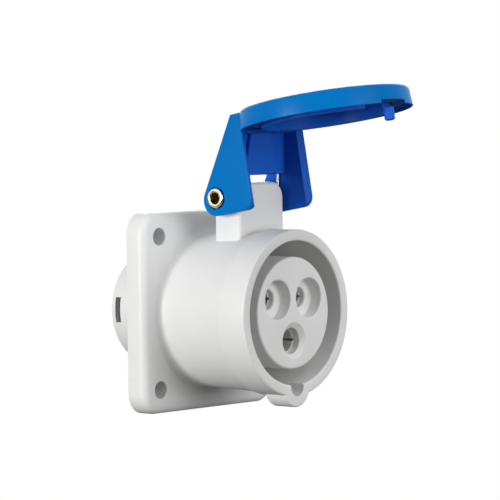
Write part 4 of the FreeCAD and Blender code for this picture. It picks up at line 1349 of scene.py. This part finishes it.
def wire_tree():
    """Build the node tree that lays a round wire along a curve, and return it with its inputs."""
    tree, start, inputs = start_tree("WireAlongCurve", (
        ("Wire radius", "Float"), ("Sides", "Int"), ("Finish", "Material")))
    section = tree.nodes.new("GeometryNodeCurvePrimitiveCircle")
    tube = tree.nodes.new("GeometryNodeCurveToMesh")
    tube.inputs["Fill Caps"].default_value = True
    link = tree.links.new
    link(start.outputs["Geometry"], tube.inputs["Curve"])
    link(start.outputs["Wire radius"], section.inputs["Radius"])
    link(start.outputs["Sides"], section.inputs["Resolution"])
    link(section.outputs["Curve"], tube.inputs["Profile Curve"])
    end_tree(tree, start, tube.outputs["Mesh"])
    return tree, inputs


class SOCKET_OT_screws(bpy.types.Operator):
    """Make the carrier's screws, the terminal screws and the shroud's screw"""

    bl_idname = "socket.screws"
    bl_label = "Screws"

    def execute(self, context):
        carrier = context.scene.socket_carrier
        shroud = context.scene.socket_shroud
        sunk = [(0.0, -6.2, 0.0), (1.45, -6.2, 0.3), (1.45, -1.5, 0.0), (2.6, -0.05, 0.08),
                (2.6, 0.0, 0.0), (0.0, 0.0, 0.0)]
        cheese = [(0.0, 2.1, 0.0), (2.0, 2.1, 0.2), (2.0, 4.4, 0.0), (3.0, 4.4, 0.1),
                  (3.0, 6.3, 0.35), (0.0, 6.3, 0.0)]
        lone = [(0.0, 7.5, 0.0), (1.75, 7.5, 0.3), (1.75, 17.9, 0.0), (3.2, 17.9, 0.1),
                (3.2, 19.5, 0.3), (0.0, 19.5, 0.0)]
        ring_of_screws(context, "CarrierScrews", slotted_screw(sunk), "carrier_screws", count=3,
                       radius=carrier.screw_circle, first_angle=CARRIER_SCREW_ANGLES[0], depth=0.0, seed=7)
        outward = slotted_screw(cheese)
        outward.data.transform(Matrix.Rotation(-math.pi / 2, 4, "Z"))
        ring_of_screws(context, "TerminalScrews", outward, "terminal_screws", count=3,
                       radius=carrier.pole_circle_radius, first_angle=POLES["neutral"],
                       depth=shroud.driver_hole_depth, seed=0)
        ring_of_screws(context, "ShroudScrew", slotted_screw(lone), "shroud_screw", count=1,
                       radius=0.0, first_angle=0.0, depth=0.0, seed=3)
        return {"FINISHED"}


def slotted_screw(corners):
    """Return a screw along Y, turned from (radius, y, rounding) corners in millimetres, with its slot."""
    top, head = corners[-1][1], max(corner[0] for corner in corners)
    profile = rounded([(radius * MM, y * MM, edge * MM) for radius, y, edge in corners], False)
    made = solid(lathe(profile, SMALL_STEPS), "Screw")
    reach = head * MM + MARGIN
    slot = block((-reach, reach), ((top - SLOT_DEPTH) * MM, top * MM + MARGIN),
                 (-SLOT_HALF_WIDTH * MM, SLOT_HALF_WIDTH * MM))
    combine(made, [slot], "DIFFERENCE")
    smooth(made.data)
    return made


def ring_of_screws(context, name, screw, node, count, radius, first_angle, depth, seed):
    """Set copies of a screw round a circle with a node tree, and turn them into one plain piece.

    A seed of 0 leaves each slot in line with the screw's own way round the circle.
    """
    tree, inputs = ring_tree()
    made = bpy.data.objects.new(name, bpy.data.meshes.new(name))
    context.collection.objects.link(made)
    modifier = made.modifiers.new("Ring", "NODES")
    modifier.node_group = tree
    values = {
        "Piece": screw, "Count": count, "Circle radius": radius, "First angle": math.radians(first_angle),
        "Depth": depth, "Slot turn": math.pi if seed else 0.0, "Seed": seed,
        "Finish": bpy.data.materials[FINISH_NAMES["zinc_steel"]],
    }
    for label, value in values.items():
        modifier[inputs[label]] = value
    apply_modifiers(made)
    bpy.data.objects.remove(screw)
    made.data.name = name
    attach(made, "housing")
    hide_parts(node)


def ring_tree():
    """Build the node tree that sets a piece round a circle about Y, and return it with its inputs."""
    tree, start, inputs = start_tree("PiecesOnCircle", (
        ("Piece", "Object"), ("Count", "Int"), ("Circle radius", "Float"), ("First angle", "Float"),
        ("Depth", "Float"), ("Slot turn", "Float"), ("Seed", "Int"), ("Finish", "Material")))
    link = tree.links.new
    index = tree.nodes.new("GeometryNodeInputIndex").outputs[0]
    share = maths(tree, "DIVIDE", index, start.outputs["Count"])
    angle = maths(tree, "ADD", maths(tree, "MULTIPLY", share, math.tau), start.outputs["First angle"])
    place = tree.nodes.new("ShaderNodeCombineXYZ")
    for axis, operation in (("X", "COSINE"), ("Z", "SINE")):
        way = maths(tree, operation, angle)
        link(maths(tree, "MULTIPLY", start.outputs["Circle radius"], way), place.inputs[axis])
    link(start.outputs["Depth"], place.inputs["Y"])
    points = tree.nodes.new("GeometryNodePoints")
    link(start.outputs["Count"], points.inputs["Count"])
    link(place.outputs["Vector"], points.inputs["Position"])
    chance = tree.nodes.new("FunctionNodeRandomValue")
    chance.data_type = "FLOAT"
    low, high = [socket for socket in chance.inputs if socket.type == "VALUE"][:2]
    low.default_value = 0.0
    link(start.outputs["Slot turn"], high)
    link(start.outputs["Seed"], chance.inputs["Seed"])
    spin = [socket for socket in chance.outputs if socket.type == "VALUE"][0]
    turn = tree.nodes.new("ShaderNodeCombineXYZ")
    link(maths(tree, "SUBTRACT", spin, angle), turn.inputs["Y"])
    piece = tree.nodes.new("GeometryNodeObjectInfo")
    link(start.outputs["Piece"], piece.inputs["Object"])
    copies = tree.nodes.new("GeometryNodeInstanceOnPoints")
    link(points.outputs[0], copies.inputs["Points"])
    link(piece.outputs["Geometry"], copies.inputs["Instance"])
    link(turn.outputs["Vector"], copies.inputs["Rotation"])
    end_tree(tree, start, copies.outputs["Instances"])
    return tree, inputs


class SOCKET_OT_stage(bpy.types.Operator):
    """Put up the floor, the backdrop, the lamps and the camera"""

    bl_idname = "socket.stage"
    bl_label = "Stage"

    def execute(self, context):
        stage = context.scene.socket_stage
        make_camera(context, stage)
        make_floor(context, stage)
        make_lamps(context, stage)
        make_room(context, stage)
        context.scene.view_settings.view_transform = "Standard"
        return {"FINISHED"}


def make_camera(context, stage):
    """Place the camera where the photograph was taken from."""
    turn, rise, roll = stage.camera_azimuth, stage.camera_elevation, stage.camera_roll
    back = Vector((math.sin(turn) * math.cos(rise), -math.cos(turn) * math.cos(rise), math.sin(rise)))
    right = Vector((math.cos(turn), math.sin(turn), 0.0))
    up = back.cross(right)
    cosine, sine = math.cos(roll), math.sin(roll)
    view = Matrix((cosine * right + sine * up, -sine * right + cosine * up, back))
    origin = Vector((stage.camera_shift_right, stage.camera_shift_up, -stage.camera_distance))
    data = bpy.data.cameras.new("Camera")
    data.sensor_width = 36.0
    data.lens = stage.lens_ratio * data.sensor_width
    data.clip_start, data.clip_end = 0.05, 20.0
    camera = bpy.data.objects.new("Camera", data)
    matrix = view.transposed().to_4x4()
    matrix.translation = -(view.transposed() @ origin)
    camera.matrix_world = matrix
    context.collection.objects.link(camera)
    context.scene.camera = camera


def make_floor(context, stage):
    """Lay a wide pale floor under the socket that looks white to the camera."""
    half = 3.0
    corners = [(-half, -half), (half, -half), (half, half), (-half, half)]
    mesh = bpy.data.meshes.new("Floor")
    mesh.from_pydata([(x, y, stage.floor_height) for x, y in corners], [], [(0, 1, 2, 3)])
    floor = bpy.data.objects.new("Floor", mesh)
    mesh.materials.append(pale_floor())
    context.collection.objects.link(floor)


def pale_floor():
    """Make the floor's material: white to the camera and darker to other rays, and white far out."""
    dark, pale = (0.12, 0.12, 0.12), (0.95, 0.95, 0.95)
    material, shader, place = new_shader("PaleFloor", pale, roughness=0.9)
    shader.inputs["Specular IOR Level"].default_value = 0.0
    tree = material.node_tree
    path = tree.nodes.new("ShaderNodeLightPath")
    shade = mixed_colour(tree, path.outputs["Is Camera Ray"], dark, pale)
    tree.links.new(shade, shader.inputs["Base Color"])
    distance = tree.nodes.new("ShaderNodeVectorMath")
    distance.operation = "LENGTH"
    tree.links.new(place, distance.inputs[0])
    fade = tree.nodes.new("ShaderNodeMapRange")
    fade.inputs["From Min"].default_value = 0.25
    fade.inputs["From Max"].default_value = 0.6
    fade.inputs["To Min"].default_value = 0.55
    fade.interpolation_type = "SMOOTHSTEP"
    tree.links.new(distance.outputs["Value"], fade.inputs["Value"])
    seen = maths(tree, "MULTIPLY", fade.outputs["Result"], path.outputs["Is Camera Ray"])
    white = tree.nodes.new("ShaderNodeEmission")
    mixed = tree.nodes.new("ShaderNodeMixShader")
    tree.links.new(seen, mixed.inputs["Fac"])
    tree.links.new(shader.outputs["BSDF"], mixed.inputs[1])
    tree.links.new(white.outputs["Emission"], mixed.inputs[2])
    tree.links.new(mixed.outputs["Shader"], tree.nodes["Material Output"].inputs["Surface"])
    return material


def area_lamp(context, name, place, size, power):
    """Hang a square lamp that looks at the socket."""
    middle = Vector((0.0, -0.03, 0.02))
    data = bpy.data.lights.new(name, "AREA")
    data.shape = "SQUARE"
    data.size = size
    data.energy = power
    lamp = bpy.data.objects.new(name, data)
    lamp.location = place
    lamp.rotation_mode = "QUATERNION"
    lamp.rotation_quaternion = (Vector(place) - middle).to_track_quat("Z", "Y")
    context.collection.objects.link(lamp)


def make_lamps(context, stage):
    """Hang soft lamps on the left, in front, above, and behind on the right."""
    area_lamp(context, "KeyLamp", (-1.1, 0.18, 0.07), size=0.4, power=stage.key_power)
    area_lamp(context, "FillLamp", (0.05, -1.4, 0.24), size=0.9, power=stage.fill_power)
    area_lamp(context, "TopLamp", (0.2, -0.6, 1.1), size=0.5, power=stage.top_power)
    area_lamp(context, "BackLamp", (1.1, 0.9, 0.5), size=0.9, power=stage.back_power)


def make_room(context, stage):
    """Give the room an even light, and let it look white behind the socket."""
    world = bpy.data.worlds.new("Room")
    world.use_nodes = True
    tree = world.node_tree
    background = tree.nodes["Background"]
    background.inputs["Color"].default_value = (1.0, 1.0, 1.0, 1.0)
    path = tree.nodes.new("ShaderNodeLightPath")
    level = tree.nodes.new("ShaderNodeMapRange")
    level.inputs["To Min"].default_value = stage.world_strength
    level.inputs["To Max"].default_value = 1.0
    seen = maths(tree, "MAXIMUM", path.outputs["Is Camera Ray"], path.outputs["Is Glossy Ray"])
    tree.links.new(seen, level.inputs["Value"])
    tree.links.new(level.outputs["Result"], background.inputs["Strength"])
    context.scene.world = world


class SOCKET_PT_panel(bpy.types.Panel):
    """Lists the steps that make the socket"""

    bl_idname = "SOCKET_PT_panel"
    bl_label = "Panel Socket"
    bl_space_type = "VIEW_3D"
    bl_region_type = "UI"
    bl_category = "Panel Socket"

    def draw(self, context):
        for operator in OPERATORS:
            self.layout.operator(operator.bl_idname)


OPERATORS = (
    SOCKET_OT_finishes, SOCKET_OT_housing, SOCKET_OT_flange_gasket, SOCKET_OT_carrier, SOCKET_OT_lid,
    SOCKET_OT_lid_gasket, SOCKET_OT_hinge_pin, SOCKET_OT_lid_spring, SOCKET_OT_shroud, SOCKET_OT_screws,
    SOCKET_OT_stage,
)
GROUPS = {
    "socket_housing": SocketHousing,
    "socket_carrier": SocketCarrier,
    "socket_shroud": SocketShroud,
    "socket_hinge": SocketHinge,
    "socket_lid": SocketLid,
    "socket_finishes": SocketFinishes,
    "socket_stage": SocketStage,
}
CLASSES = (*GROUPS.values(), *OPERATORS, SOCKET_PT_panel)


def register():
    """Register the classes and hang the settings on the scene."""
    for kind in CLASSES:
        bpy.utils.register_class(kind)
    for name, group in GROUPS.items():
        setattr(bpy.types.Scene, name, bpy.props.PointerProperty(type=group))


def unregister():
    """Take the settings and the classes away again."""
    for name in GROUPS:
        delattr(bpy.types.Scene, name)
    for kind in reversed(CLASSES):
        bpy.utils.unregister_class(kind)


def main():
    """Make the whole socket."""
    register()
    bpy.ops.socket.finishes()
    bpy.ops.socket.housing()
    bpy.ops.socket.flange_gasket()
    bpy.ops.socket.carrier()
    bpy.ops.socket.lid()
    bpy.ops.socket.lid_gasket()
    bpy.ops.socket.hinge_pin()
    bpy.ops.socket.lid_spring()
    bpy.ops.socket.shroud()
    bpy.ops.socket.screws()
    bpy.ops.socket.stage()


if __name__ == "__main__":
    main()
